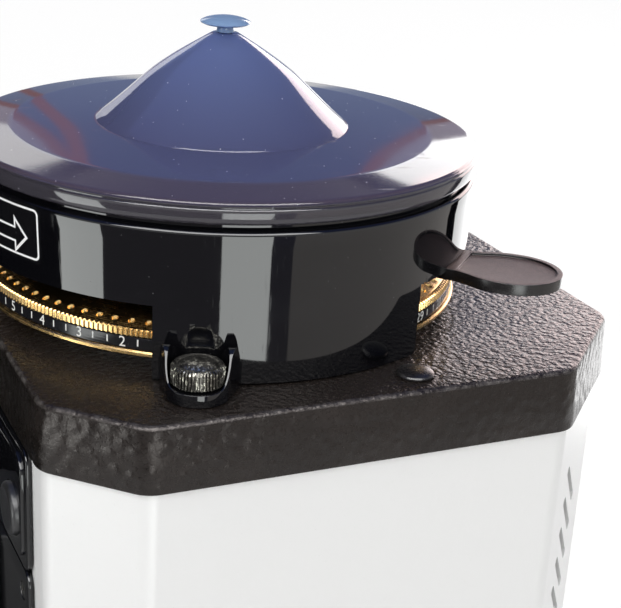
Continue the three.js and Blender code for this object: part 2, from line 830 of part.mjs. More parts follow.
// Lower burr carrier with sweeping vanes
function burrWheel() {
  const profile = [[shaftRadius + seatGap, wheelBottom - wheelHubDrop],
    [wheelHubRadius, wheelBottom - wheelHubDrop], [wheelHubRadius, wheelBottom],
    [wheelRadius, wheelBottom], [wheelRadius, wheelTop], [shaftRadius + seatGap, wheelTop]];
  const vanes = [];
  for (let i = 0; i < vaneCount; i += 1) {
    const vane = block(wheelRadius - vaneReach, wheelRadius + vaneReach, -vaneThickness / 2,
      vaneThickness / 2, wheelBottom, wheelTop + vaneRise);
    const rise = wheelTop + vaneRise + cutOverrun;
    const inner = cylinder(burrRadius + slideGap, wheelTop, rise, 0, 0, midSteps);
    vanes.push(atAngle(cut(vane, inner), vaneAngle + i * 360 / vaneCount));
  }
  const holes = burrScrewPlaces().map(([x, y]) => cylinder(burrScrewRadius + seatGap,
    wheelBottom - cutOverrun, wheelTop + cutOverrun, x, y, smallSteps / 2));
  return cut(join(revolve(profile, midSteps), ...vanes), ...holes);
}

// Heights of the motor
const bellTop = -chamberFloorDepth - chamberFloorThickness - seatGap;
const statorTop = bellTop - bellHeight - seatGap;
const statorBottom = statorTop - statorHeight;
const lowerBellTop = statorBottom - seatGap;
const lowerBellBottom = lowerBellTop - bellHeight;

function shaft() {
  const tail = lowerBellBottom - shaftTailLength;
  return cylinder(shaftRadius, tail, wheelTop, 0, 0, midSteps);
}

// Nut on the shaft's end, over the wheel's hub
function wheelNut() {
  const bottom = wheelTop + seatGap;
  return cylinder(wheelNutRadius, bottom, bottom + wheelNutHeight, 0, 0, boltSides);
}

// End bell with a bearing pocket, turned with its open side down or up
function bell(outerFace, direction) {
  const inner = outerFace + direction * bellWall;
  const pocket = outerFace + direction * (bearingHeight + bellWall);
  const rim = outerFace + direction * bellHeight;
  const pocketWall = bearingRadius + seatGap + bellWall;
  return revolve([[shaftRadius + slideGap, outerFace], [bellRadius, outerFace], [bellRadius, rim],
    [bellRadius - bellWall, rim], [bellRadius - bellWall, inner], [pocketWall, inner],
    [pocketWall, pocket], [bearingRadius + seatGap, pocket], [bearingRadius + seatGap, inner],
    [shaftRadius + slideGap, inner]], midSteps);
}

function bearing(outerFace, direction) {
  const near = outerFace + direction * (bellWall + seatGap);
  const far = near + direction * bearingHeight;
  return tube(bearingRadius, shaftRadius + seatGap, Math.min(near, far), Math.max(near, far), midSteps);
}

function winding(statorEnd, direction) {
  const near = statorEnd;
  const far = near + direction * windingHeight;
  const outer = bellRadius - bellWall - slideGap * 2;
  const inner = outer - windingWall;
  const middle = (outer + inner) / 2;
  return revolve([[inner, near], [outer, near], [outer, (near + far) / 2], [middle, far],
    [inner, (near + far) / 2]], midSteps);
}

// Stator with its wound ends
function stator() {
  const core = tube(bellRadius, bellRadius - statorWall, statorBottom, statorTop, midSteps);
  return join(core, winding(statorTop, 1), winding(statorBottom, -1));
}

function rotor() {
  const outer = bellRadius - statorWall - rotorPlayGap;
  return tube(outer, shaftRadius + seatGap, statorBottom + rotorInset, statorTop - rotorInset, midSteps);
}

function fan() {
  const top = lowerBellBottom - fanDrop;
  const hub = tube(fanHubRadius, shaftRadius + seatGap, top - fanHeight, top, midSteps);
  const blades = [];
  for (let i = 0; i < fanBlades; i += 1) {
    const blade = block(fanHubRadius - fanBladeThickness, fanRadius, -fanBladeThickness / 2,
      fanBladeThickness / 2, -fanHeight / 2, fanHeight / 2);
    blade.rotateX(fanBladeLean * degree).translate(0, 0, top - fanHeight / 2);
    blades.push(atAngle(blade, i * 360 / fanBlades));
  }
  return join(hub, ...blades);
}

// Collar: tapering wall with windows, bean bowl, throat, gate guide, clamping lugs
function collar() {
  const top = collarHeight;
  const neckTop = top + collarNeckHeight;
  const seat = seatGap;
  const wallTopInner = top - bowlWall * 2;
  const bowlFoot = guardSeatHeight + guardHeight;
  const profile = [[collarSkirtBoreRadius, seat], [collarBaseRadius, seat],
    [collarTopRadius, top - collarEdgeWidth],
    [collarTopRadius - collarEdgeWidth / 3, top - collarEdgeWidth / 3],
    [collarTopRadius - collarEdgeWidth, top], [collarNeckRadius, top], [collarNeckRadius, neckTop],
    [bowlRadius, neckTop], [bowlRadius, neckTop - bowlStraightHeight],
    [throatRadius + guardLedgeWidth + bowlWall, bowlFoot], [throatRadius + guardLedgeWidth, bowlFoot],
    [throatRadius + guardLedgeWidth, guardSeatHeight], [throatRadius, guardSeatHeight],
    [throatRadius, throatFootDepth], [throatRadius + throatWall, throatFootDepth],
    [throatRadius + throatWall, guardSeatHeight - bowlWall],
    [bowlRadius - bowlWall, wallTopInner], [collarSkirtBoreRadius, wallTopInner]];
  let body = revolve(profile);
  const rails = [1, -1].map((side) => {
    const inner = gateHalfWidth + slideGap;
    const rail = block(0, collarSkirtBoreRadius, Math.min(side * inner, side * (inner + railWall)),
      Math.max(side * inner, side * (inner + railWall)), gateLevelHeight - railDrop, wallTopInner);
    return atAngle(rail, gateAngle);
  });
  const envelope = revolve([[throatRadius + throatWall / 2, throatFootDepth],
    [collarSkirtBoreRadius + slideGap, throatFootDepth],
    [collarSkirtBoreRadius + slideGap, wallTopInner + bowlWall / 2],
    [bowlRadius - bowlWall, wallTopInner + bowlWall / 2],
    [throatRadius + throatWall / 2, guardSeatHeight - bowlWall / 2]]);
  const sleeve = plungerBoss();
  body = join(body, common(join(...rails, sleeve), envelope), ...clampAngles().map(lug));
  const cuts = [gateSlot(), ...windows(), ...clampAngles().map(niche), plungerBore()];
  return cut(body, ...cuts);
}

// Three windows round the foot of the collar
function windows() {
  const sectors = [];
  for (let i = 0; i < windowCount; i += 1) {
    const start = (windowStart + i * 360 / windowCount) * degree;
    const sector = new THREE.Shape();
    const inner = collarSkirtBoreRadius - cutOverrun;
    const outer = collarTopRadius + cutOverrun;
    sector.absarc(0, 0, outer, start, start + windowSweep * degree);
    sector.absarc(0, 0, inner, start + windowSweep * degree, start, true);
    sector.closePath();
    sectors.push(prism(sector, -cutOverrun, windowHeight, 3));
  }
  return sectors;
}

// Slot for the gate blade, and the notch in the wall for its paddle
function gateSlot() {
  const blade = block(-throatRadius - throatWall - cutOverrun, collarSkirtBoreRadius - slideGap,
    -gateHalfWidth - slideGap, gateHalfWidth + slideGap,
    gateLevelHeight - slideGap, gateLevelHeight + gateThickness + slideGap);
  const notch = block(paddleRootRadius - slideGap * 2, collarTopRadius + cutOverrun,
    -paddleRootHalfWidth - slideGap, paddleRootHalfWidth + slideGap,
    paddleTopHeight - paddleThickness - slideGap, paddleTopHeight + slideGap);
  return atAngle(join(blade, notch), gateAngle);
}

// Lug: a rounded foot whose two ears fall away in a curve from the wall
function lug(angle) {
  const start = collarSkirtBoreRadius + nicheWall / 2;
  const end = clampCircleRadius + lugReach;
  const plan = roundedOutline([[start - lugCornerLength, -lugHalfWidth], [end, -lugHalfWidth],
    [end, lugHalfWidth], [start - lugCornerLength, lugHalfWidth]], lugCornerLength);
  const side = new THREE.Shape();
  side.moveTo(start - lugCornerLength, seatGap);
  side.lineTo(end + cutOverrun, seatGap);
  side.lineTo(end + cutOverrun, lugFloorDepth);
  side.bezierCurveTo(end - lugReach / 4, lugFloorDepth,
    clampCircleRadius + lugEarRunLength / 2, lugEarHeight,
    clampCircleRadius - lugEarRunLength / 2, lugEarHeight);
  side.lineTo(start - lugCornerLength, lugEarHeight);
  side.closePath();
  const slice = prism(side, -lugHalfWidth - cutOverrun, lugHalfWidth + cutOverrun, 4);
  slice.rotateX(Math.PI / 2);
  const blank = common(prism(plan, seatGap, lugEarHeight, 3), slice);
  const inside = cylinder(start, -cutOverrun, lugEarHeight + cutOverrun, 0, 0, wideSteps);
  return atAngle(cut(blank, inside), angle);
}

// Arched niche round a thumb screw, and the hole for its shank
function niche(angle) {
  const arch = nicheHeight - nicheRadius;
  const profile = [[0, lugFloorDepth], [nicheRadius, lugFloorDepth]];
  for (let i = 0; i <= nicheSteps; i += 1) {
    const turn = i / nicheSteps * Math.PI / 2;
    profile.push([nicheRadius * Math.cos(turn), lugFloorDepth + arch + nicheRadius * Math.sin(turn)]);
  }
  const pocket = revolve(profile, thumbTeeth).translate(clampCircleRadius, 0, 0);
  const keep = cylinder(collarSkirtBoreRadius + nicheWall, -cutOverrun, collarHeight, 0, 0, wideSteps);
  const hole = cylinder(thumbShankRadius + thumbHolePlayGap, -cutOverrun, lugFloorDepth + cutOverrun,
    clampCircleRadius, 0);
  return atAngle(join(cut(pocket, keep), hole), angle);
}

// Knurled thumb screw with a dished top
function thumbScrew(angle) {
  const bottom = lugFloorDepth + seatGap;
  const top = bottom + thumbHeight;
  const head = prism(knurl(thumbRadius, thumbToothDepth, thumbTeeth), bottom, top);
  const envelope = revolve([[0, bottom], [thumbRadius - thumbEdgeWidth, bottom],
    [thumbRadius, bottom + thumbEdgeWidth],
    [thumbRadius, top - thumbEdgeWidth], [thumbRadius - thumbEdgeWidth, top], [thumbDishRadius, top],
    [thumbDishRadius - thumbDishDepth, top - thumbDishDepth], [0, top - thumbDishDepth]], thumbTeeth);
  const shank = cylinder(thumbShankRadius, -thumbShankDepth, bottom + thumbHeight / 2);
  return join(common(head, envelope), shank).translate(...polar(clampCircleRadius, angle), 0);
}

// Gate blade: wide over the throat, a narrow tongue through the collar
function gateBlade() {
  const back = -throatRadius - throatWall / 2;
  const outline = roundedOutline([[back, -gateHalfWidth], [gateNeckStart, -gateHalfWidth],
    [gateNeckStart, -gateNeckHalfWidth], [gateTongueReach, -gateNeckHalfWidth],
    [gateTongueReach, gateNeckHalfWidth], [gateNeckStart, gateNeckHalfWidth],
    [gateNeckStart, gateHalfWidth], [back, gateHalfWidth]], gateNeckHalfWidth / 4);
  return atAngle(prism(outline, gateLevelHeight, gateLevelHeight + gateThickness), gateAngle);
}

// Paddle outline, drawn in by an inset
function paddleOutline(inset) {
  const shape = new THREE.Shape();
  const root = paddleRootRadius + inset;
  const tip = paddleTipRadius - inset;
  const rootHalf = paddleRootHalfWidth - inset;
  const half = paddleHalfWidth - inset;
  const widest = (paddleRootRadius + paddleTipRadius) / 2;
  const neckEnd = collarTopRadius + slideGap;
  shape.moveTo(root, -rootHalf);
  shape.lineTo(neckEnd, -rootHalf);
  shape.quadraticCurveTo((neckEnd + widest) / 2, -half, widest, -half);
  shape.bezierCurveTo((widest + tip) / 2, -half, tip, -half / 2, tip, 0);
  shape.bezierCurveTo(tip, half / 2, (widest + tip) / 2, half, widest, half);
  shape.quadraticCurveTo((neckEnd + widest) / 2, half, neckEnd, rootHalf);
  shape.lineTo(root, rootHalf);
  shape.closePath();
  return shape;
}

function gatePaddle() {
  const bottom = paddleTopHeight - paddleThickness;
  const blank = prism(paddleOutline(0), bottom, paddleTopHeight, 8);
  const dish = prism(paddleOutline(paddleRimWidth), paddleTopHeight - paddleDishDepth,
    paddleTopHeight + cutOverrun, 8);
  const near = block(0, collarTopRadius + slideGap, -paddleHalfWidth * 2, paddleHalfWidth * 2,
    paddleTopHeight - paddleDishDepth * 2, paddleTopHeight + cutOverrun * 2);
  const pocket = block(paddleRootRadius - cutOverrun, gateTongueReach + seatGap,
    -gateNeckHalfWidth - seatGap,
    gateNeckHalfWidth + seatGap, gateLevelHeight - seatGap, gateLevelHeight + gateThickness + seatGap);
  return atAngle(cut(blank, cut(dish, near), pocket), gateAngle);
}

// Click plunger, screwed into a boss below the bowl, with its sprung pin
const plungerLevel = knurlTop + crownRise + seatGap;

function plungerPlace() {
  return polar(dimpleCircleRadius - dimpleRadius, plungerAngle);
}

function plungerBoss() {
  const radius = plungerSleeveRadius + plungerBossWall;
  return cylinder(radius, plungerLevel + seatGap, collarHeight - bowlWall * 2, ...plungerPlace());
}

function plungerBore() {
  return cylinder(plungerSleeveRadius + seatGap, plungerLevel - cutOverrun,
    plungerLevel + plungerSleeveHeight + 2 * seatGap, ...plungerPlace());
}

function plungerSleeve() {
  const bottom = plungerLevel + seatGap;
  const bore = plungerPinRadius + seatGap;
  const sleeve = tube(plungerSleeveRadius, bore, bottom, bottom + plungerSleeveHeight, smallSteps);
  return sleeve.translate(...plungerPlace(), 0);
}

function plungerPin() {
  const slope = crownRise / (shoulderRadius - crownRadius);
  const surface = knurlTop + (shoulderRadius - dimpleCircleRadius) * slope;
  const tip = surface + plungerTipLiftHeight;
  const profile = [[0, tip], [plungerPinRadius / 2, tip + plungerTipLiftHeight / 2],
    [plungerPinRadius, tip + plungerPinRadius],
    [plungerPinRadius, plungerLevel + plungerSleeveHeight / 2],
    [0, plungerLevel + plungerSleeveHeight / 2]];
  return revolve(profile, smallSteps / 2).translate(...plungerPlace(), 0);
}

// Finger guard: a ring with two crossed bars
function fingerGuard() {
  const bottom = guardSeatHeight + seatGap;
  const outer = throatRadius + guardLedgeWidth - guardPlayGap;
  const ring = tube(outer, outer - guardRingWidth, bottom, bottom + guardHeight, smallSteps * 2);
  const half = guardBarWidth / 2;
  const reach = outer - guardRingWidth / 2;
  const along = block(-reach, reach, -half, half, bottom, bottom + guardHeight);
  const across = block(-half, half, -reach, reach, bottom, bottom + guardHeight);
  return join(ring, along, across);
}

// Lid: skirt, brim, gently bulging cone, bored for the knob's stud
function lid() {
  const under = collarHeight + collarNeckHeight + seatGap;
  const rim = under + lidThickness;
  const coneBase = rim + lidBrimRise;
  const coneTop = coneBase + lidConeHeight;
  const outside = [];
  const inside = [];
  const steps = 4;
  for (let i = 0; i <= steps; i += 1) {
    const share = i / steps;
    const radius = lidConeBase + (lidConeTopHeight - lidConeBase) * share;
    const bulge = lidConeBulgeWidth * Math.sin(Math.PI * share);
    outside.push([radius + bulge, coneBase + lidConeHeight * share]);
    inside.push([Math.max(radius + bulge - lidThickness, lidBoreRadius),
      Math.min(coneBase + lidConeHeight * share - lidThickness / 2, coneTop - lidThickness)]);
  }
  const edge = lidThickness / 3;
  const profile = [[lidRadius - lidSkirtWall, rim - lidSkirtDrop], [lidRadius - edge, rim - lidSkirtDrop],
    [lidRadius, rim - lidSkirtDrop + edge], [lidRadius, rim - edge], [lidRadius - edge, rim],
    ...outside, [lidBoreRadius, coneTop], [lidBoreRadius, coneTop - lidThickness],
    ...inside.reverse().filter(([radius]) => radius > lidBoreRadius),
    [lidRadius - lidSkirtWall, under]];
  return revolve(profile);
}

function lidKnob() {
  const seat = collarHeight + collarNeckHeight + lidThickness + lidBrimRise + lidConeHeight + 2 * seatGap;
  const discBottom = seat + lidKnobNeckHeight;
  const discTop = discBottom + lidKnobDiscHeight;
  const stud = lidBoreRadius - lidStudPlayGap;
  return revolve([[0, seat - lidStudLength], [stud, seat - lidStudLength], [stud, seat],
    [lidKnobNeckRadius, seat], [lidKnobNeckRadius, discBottom - lidKnobNeckHeight / 3],
    [lidKnobRadius * 3 / 4, discBottom], [lidKnobRadius, discBottom + lidKnobDiscHeight / 3],
    [lidKnobRadius * 7 / 8, discTop - lidKnobDiscHeight / 5], [lidKnobRadius / 2, discTop],
    [0, discTop]], midSteps);
}

// Front panels, standing just proud of the casing
const panelBack = -casingFront - seatGap;
const panelFace = panelBack - panelThickness;

function panelBlank(top, bottom) {
  const outline = roundedOutline([[-panelHalfWidth, bottom], [panelHalfWidth, bottom],
    [panelHalfWidth, top], [-panelHalfWidth, top]], panelCornerLength);
  return prism(outline, 0, panelThickness).rotateX(Math.PI / 2).translate(0, panelBack, 0);
}

function buttonPlaces() {
  return [-buttonX, buttonX];
}

// Control panel: a strip across the front with a raised pad, a display well and button holes
const padFace = panelFace - padRise;

function controlPanel() {
  const top = -plateSkirtHeight - panelTopGap;
  const bottom = -panelSeamDepth + seatGap / 2;
  const outline = roundedOutline([[-padHalfWidth, bottom + padMarginWidth],
    [padHalfWidth, bottom + padMarginWidth],
    [padHalfWidth, top - padMarginWidth], [-padHalfWidth, top - padMarginWidth]], padCornerLength);
  const pad = prism(outline, panelThickness / 2, panelThickness + padRise, 6)
    .rotateX(Math.PI / 2).translate(0, panelBack, 0);
  const well = block(-displayHalfWidth, displayHalfWidth, padFace - cutOverrun,
    padFace + displayRecessDepth + displayThickness, -displayDepth - displayHeight / 2,
    -displayDepth + displayHeight / 2);
  const holes = buttonPlaces().map((x) => cylinder(buttonRadius + seatGap, -cutOverrun,
    panelThickness + padRise + cutOverrun, 0, 0, smallSteps * 3 / 2)
    .rotateX(Math.PI / 2).translate(x, panelBack, -displayDepth));
  return cut(join(panelBlank(top, bottom), pad), well, ...holes);
}

function display() {
  const back = padFace + displayRecessDepth + displayThickness - seatGap;
  return block(-displayHalfWidth + seatGap, displayHalfWidth - seatGap, back - displayThickness, back,
    -displayDepth - displayHeight / 2 + seatGap, -displayDepth + displayHeight / 2 - seatGap);
}

function button(x) {
  const face = panelThickness + padRise + buttonProudHeight;
  const profile = [[0, face - buttonLength], [buttonRadius, face - buttonLength],
    [buttonRadius, face - buttonProudHeight / 2], [buttonRadius - buttonProudHeight / 2, face],
    [0, face]];
  return revolve(profile, smallSteps * 3 / 2).rotateX(Math.PI / 2).translate(x, panelBack, -displayDepth);
}

// Bar behind the control panel, with a cup behind each button
function buttonCarrier() {
  const proud = panelThickness + padRise + buttonProudHeight;
  const near = panelBack + seatGap;
  const face = panelBack + buttonLength - proud + buttonTravel + seatGap;
  const half = buttonRadius + carrierStripWall;
  const bar = block(-buttonX, buttonX, near, -ductFrontDepth - seatGap, -displayDepth - half,
    -displayDepth + half);
  const ends = buttonPlaces().map((x) => block(x - half, x + half, near, face + carrierStripWall,
    -displayDepth - half, -displayDepth + half));
  const cups = buttonPlaces().map((x) => cylinder(buttonRadius + seatGap, -face, -near + cutOverrun,
    0, 0, smallSteps * 3 / 2)
    .rotateX(Math.PI / 2).translate(x, 0, -displayDepth));
  return cut(join(bar, ...ends), ...cups);
}

function lowerPanel() {
  const blank = panelBlank(-panelSeamDepth - seatGap / 2, -panelFootDepth);
  const middle = -forkDepth + doseRise;
  const hole = block(-doseHalfWidth - seatGap, doseHalfWidth + seatGap, panelFace - cutOverrun,
    panelBack + cutOverrun, middle - doseHeight / 2 - seatGap, middle + doseHeight / 2 + seatGap);
  const mouth = block(-outletHalfWidth - ductWall - seatGap, outletHalfWidth + ductWall + seatGap,
    panelFace - cutOverrun, panelBack + cutOverrun, -mouthBottomHeight - ductWall - seatGap,
    -mouthTopHeight + ductWall + seatGap);
  return cut(blank, hole, mouth);
}

// Duct that drops from the chamber, behind the control panel, to the spout
function ductSide(inset, overrun) {
  const shape = new THREE.Shape();
  const face = panelFace - seatGap;
  shape.moveTo(-chamberBoreRadius, -ductTopDepth - inset);
  shape.lineTo(-ductFrontDepth + inset, -ductTopDepth - inset);
  shape.lineTo(-ductFrontDepth + inset, -mouthTopHeight + ductWall - inset);
  shape.lineTo(face - overrun, -mouthTopHeight + ductWall - inset);
  shape.lineTo(face - overrun, -mouthBottomHeight - ductWall + inset);
  shape.lineTo(-ductFrontDepth, -mouthBottomHeight - ductWall + inset);
  shape.lineTo(-ductRearDepth - inset, -mouthTopHeight + ductWall - inset);
  shape.lineTo(-ductRearDepth - inset, -outletFloorDepth - ductWall + inset);
  shape.lineTo(-chamberBoreRadius, -outletFloorDepth - ductWall + inset);
  shape.closePath();
  return shape;
}

function duct() {
  const outer = upright(ductSide(0, 0), outletHalfWidth + ductWall);
  const inner = upright(ductSide(ductWall, cutOverrun), outletHalfWidth);
  const round = cylinder(chamberRadius + seatGap, -chamberFloorDepth - chamberFloorThickness - seatGap,
    -ductTopDepth + cutOverrun, 0, 0, wideSteps * 2);
  return cut(outer, inner, round);
}

// Outline in the YZ plane, raised to both sides of X = 0
function upright(shape, half) {
  return prism(shape, -half, half, 5).rotateX(Math.PI / 2).rotateZ(Math.PI / 2);
}

// Side outline of the spout, drawn in by an inset, open towards the duct and at the foot
function spoutSide(inset, overrun) {
  const back = panelFace - seatGap * 2;
  const front = back - spoutReach + inset;
  const top = -spoutTopDepth - inset;
  const foot = -spoutTopDepth - spoutLength - overrun;
  const headFoot = -spoutTopDepth - spoutHeadHeight + inset;
  const shape = new THREE.Shape();
  shape.moveTo(back + overrun, top);
  shape.lineTo(front + spoutRoundRadius, top);
  shape.quadraticCurveTo(front, top, front, top - spoutRoundRadius);
  shape.lineTo(front + inset, headFoot);
  const middle = back - spoutReach / 2;
  shape.lineTo(middle - spoutOutletWidth / 2 + inset, foot);
  shape.lineTo(middle + spoutOutletWidth / 2 - inset, foot);
  shape.lineTo(back - spoutRoundRadius / 2, headFoot);
  shape.lineTo(back + overrun, headFoot);
  shape.closePath();
  return shape;
}

function spout() {
  const outer = upright(spoutSide(0, 0), spoutHalfWidth);
  const inner = upright(spoutSide(spoutWall, cutOverrun), spoutHalfWidth - spoutWall);
  return cut(outer, inner);
}

// Fork that holds the filter holder: a back plate and two hooked prongs
function fork() {
  const back = panelFace - seatGap;
  const plate = block(-forkHalfWidth, forkHalfWidth, back - forkPlateThickness, back,
    -forkDepth - forkPlateHeight / 2, -forkDepth + forkPlateHeight / 2 + doseRise);
  const prongs = [1, -1].flatMap((side) => {
    const inner = side * (forkHalfWidth - forkBarWidth);
    const outer = side * forkHalfWidth;
    const tip = back - forkReach;
    const bar = block(Math.min(inner, outer), Math.max(inner, outer), tip, back - forkPlateThickness / 2,
      -forkDepth - forkThickness, -forkDepth);
    const hook = block(Math.min(inner, outer), Math.max(inner, outer), tip, tip + forkHookLength,
      -forkDepth - forkThickness / 2, -forkDepth + forkHookHeight);
    return [bar, hook];
  });
  const middle = -forkDepth + doseRise;
  const hole = block(-doseHalfWidth - seatGap, doseHalfWidth + seatGap,
    back - forkPlateThickness - cutOverrun,
    back + cutOverrun, middle - doseHeight / 2 - seatGap, middle + doseHeight / 2 + seatGap);
  return cut(join(plate, ...prongs), hole);
}

// Dose switch: a push plate that the filter holder presses
function doseButton() {
  const face = panelFace - seatGap - forkPlateThickness - doseProudHeight;
  const middle = -forkDepth + doseRise;
  return block(-doseHalfWidth, doseHalfWidth, face, face + doseLength,
    middle - doseHeight / 2, middle + doseHeight / 2);
}

function doseSwitch() {
  const buttonFace = panelFace - seatGap - forkPlateThickness - doseProudHeight;
  const face = buttonFace + doseLength + doseTravel + seatGap;
  const middle = -forkDepth + doseRise;
  const body = block(-doseHalfWidth, doseHalfWidth, face, face + doseSwitchDepth,
    middle - doseHeight / 2, middle + doseHeight / 2);
  const strap = block(-doseHalfWidth - doseHeight, doseHalfWidth + doseHeight, panelBack + seatGap,
    panelBack + seatGap + panelThickness,
    middle - doseHeight / 2 - doseTravel, middle - doseHeight / 2 - slideGap);
  const arm = block(-doseHalfWidth, doseHalfWidth, panelBack + seatGap, face + doseSwitchDepth,
    middle - doseHeight / 2 - doseTravel, middle - doseHeight / 2 - slideGap);
  const riser = block(-doseHalfWidth, doseHalfWidth, face, face + doseSwitchDepth,
    middle - doseHeight / 2 - doseTravel, middle);
  return join(body, strap, arm, riser);
}

// Rear fittings
function rockerFrame() {
  const height = baseTop + rearFittingHeight;
  const halfX = rockerHalfWidth + rockerFrameWall;
  const halfZ = rockerHalfHeight + rockerFrameWall;
  const face = casingRear + seatGap + rockerFrameFlangeThickness;
  const flange = block(rockerX - halfX - rockerFrameFlangeThickness,
    rockerX + halfX + rockerFrameFlangeThickness,
    casingRear + seatGap, face, height - halfZ - rockerFrameFlangeThickness,
    height + halfZ + rockerFrameFlangeThickness);
  const box = block(rockerX - halfX, rockerX + halfX, casingRear - rockerFrameDepth,
    casingRear + seatGap * 2,
    height - halfZ, height + halfZ);
  const hollow = block(rockerX - rockerHalfWidth - slideGap, rockerX + rockerHalfWidth + slideGap,
    casingRear - rockerFrameDepth + rockerFrameWall, face + cutOverrun,
    height - rockerHalfHeight - slideGap, height + rockerHalfHeight + slideGap);
  return cut(join(flange, box), hollow);
}

// Rocker with a hollowed face, resting tilted about its pivot
function powerRocker() {
  const height = baseTop + rearFittingHeight;
  const half = rockerHalfHeight - slideGap;
  const side = new THREE.Shape();
  side.moveTo(0, -half);
  side.lineTo(rockerDepth, -half);
  side.quadraticCurveTo(rockerDepth / 2, 0, rockerDepth, half);
  side.lineTo(0, half);
  side.closePath();
  const body = upright(side, rockerHalfWidth - seatGap).rotateX(rockerTilt * degree);
  return body.translate(rockerX, casingRear - rockerFrameFlangeThickness, height);
}

function cableGland() {
  const height = baseTop + rearFittingHeight;
  const face = seatGap + glandFlangeThickness;
  const profile = [[glandBoreRadius, seatGap - glandLength / 2], [glandRadius, seatGap - glandLength / 2],
    [glandRadius, seatGap], [glandFlangeRadius, seatGap], [glandFlangeRadius, face],
    [glandRadius, face], [glandBoreRadius + glandFlangeThickness / 2, glandLength],
    [glandBoreRadius, glandLength]];
  return revolve(profile, smallSteps).rotateX(-Math.PI / 2).translate(glandX, casingRear, height);
}

// Capacitor and control board
function capacitor() {
  const bottom = baseTop + seatGap;
  return cylinder(capacitorRadius, bottom, bottom + capacitorHeight, capacitorX, capacitorY);
}

function boardCorners() {
  const inset = boardPostRadius;
  return [[1, 1], [-1, 1], [1, -1], [-1, -1]].map(([i, j]) => [
    boardX + i * (boardHalfWidth - inset), boardY + j * (boardHalfDepth - inset)]);
}

function controlBoard() {
  const bottom = baseTop + boardPostHeight + seatGap;
  const sheet = block(boardX - boardHalfWidth, boardX + boardHalfWidth,
    boardY - boardHalfDepth, boardY + boardHalfDepth, bottom, bottom + boardThickness);
  const half = boardChipHalfWidth;
  const chips = [-1, 1].map((side) => {
    const x = boardX + side * half * 3 / 2;
    return block(x - half, x + half, boardY - half, boardY + half,
      bottom + boardThickness / 2, bottom + boardChipHeight);
  });
  return join(sheet, ...chips);
}

// Assembly
const grinder = new THREE.Group();
grinder.position.y = axisOffset;

grinder.add(node('base', base(), 'wrinkleBlack'));
footPlaces().forEach((place, i) => grinder.add(node(`foot_${i + 1}`, foot(place), 'rubber')));
grinder.add(node('grounds_tray', tray(), 'mattBlack'));
grinder.add(node('casing', casing(), 'white'));
grinder.add(node('switch_frame', rockerFrame(), 'mattBlack'));
grinder.add(node('power_rocker', powerRocker(), 'glossBlack'));
grinder.add(node('cable_gland', cableGland(), 'mattBlack'));
grinder.add(node('capacitor', capacitor(), 'aluminium'));
grinder.add(node('control_board', controlBoard(), 'board'));

const head = new THREE.Group();
head.position.z = plateTop;
grinder.add(head);

head.add(node('top_plate', topPlate(), 'wrinkleBlack'));
plugPlaces().forEach((place, i) => {
  head.add(node(`plate_screw_${i + 1}`, plateScrew(place), 'darkSteel'));
});
head.add(node('collar', collar(), 'glossBlack'));
head.add(node('finger_guard', fingerGuard(), 'steel'));
clampAngles().forEach((angle, i) => {
  head.add(node(`thumb_screw_${i + 1}`, thumbScrew(angle), 'darkSteel'));
});
head.add(node('gate_blade', gateBlade(), 'steel'));
head.add(node('gate_paddle', gatePaddle(), 'paddle'));
head.add(node('click_sleeve', plungerSleeve(), 'steel'));
head.add(node('click_pin', plungerPin(), 'steel'));
head.add(node('adjusting_ring', adjustRing(), 'brass'));
head.add(node('number_band', numberBand(), 'bandBlack'));
head.add(node('lid', lid(), 'clear'));
head.add(node('lid_knob', lidKnob(), 'mattBlack'));

head.add(node('grinding_chamber', chamber(), 'aluminium'));
chamberBoltPlaces().forEach((place, i) => {
  head.add(node(`chamber_bolt_${i + 1}`, chamberBolt(place), 'steel'));
});
head.add(node('upper_burr_carrier', upperCarrier(), 'aluminium'));
spread(springCount, springAngle).forEach((angle, i) => {
  head.add(node(`carrier_spring_${i + 1}`, carrierSpring(angle), 'steel'));
});
const upperBurr = node('upper_burr', burr(-1), 'steel');
upperBurr.position.z = upperBurrBack;
const lowerBurr = node('lower_burr', burr(1), 'steel');
lowerBurr.position.z = lowerBurrBack;
head.add(upperBurr, lowerBurr);
head.add(node('burr_wheel', burrWheel(), 'aluminium'));
head.add(node('wheel_nut', wheelNut(), 'steel'));

head.add(node('motor_shaft', shaft(), 'steel'));
head.add(node('motor_bell_upper', bell(bellTop, -1), 'aluminium'));
head.add(node('motor_bell_lower', bell(lowerBellBottom, 1), 'aluminium'));
head.add(node('bearing_upper', bearing(bellTop, -1), 'steel'));
head.add(node('bearing_lower', bearing(lowerBellBottom, 1), 'steel'));
head.add(node('stator', stator(), 'darkSteel'));
head.add(node('rotor', rotor(), 'darkSteel'));
head.add(node('fan', fan(), 'mattBlack'));

head.add(node('control_panel', controlPanel(), 'glossBlack'));
head.add(node('lower_panel', lowerPanel(), 'glossBlack'));
head.add(node('display', display(), 'glass'));
buttonPlaces().forEach((x, i) => head.add(node(`dose_select_button_${i + 1}`, button(x), 'mattBlack')));
head.add(node('button_carrier', buttonCarrier(), 'mattBlack'));
head.add(node('outlet_duct', duct(), 'mattBlack'));
head.add(node('spout', spout(), 'mattBlack'));
head.add(node('filter_fork', fork(), 'steel'));
head.add(node('dose_button', doseButton(), 'mattBlack'));
head.add(node('dose_switch', doseSwitch(), 'mattBlack'));

export default grinder;
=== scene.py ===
import math

import bmesh
import bpy
from bpy.props import FloatProperty, FloatVectorProperty, IntProperty, PointerProperty
from mathutils import Matrix, Vector


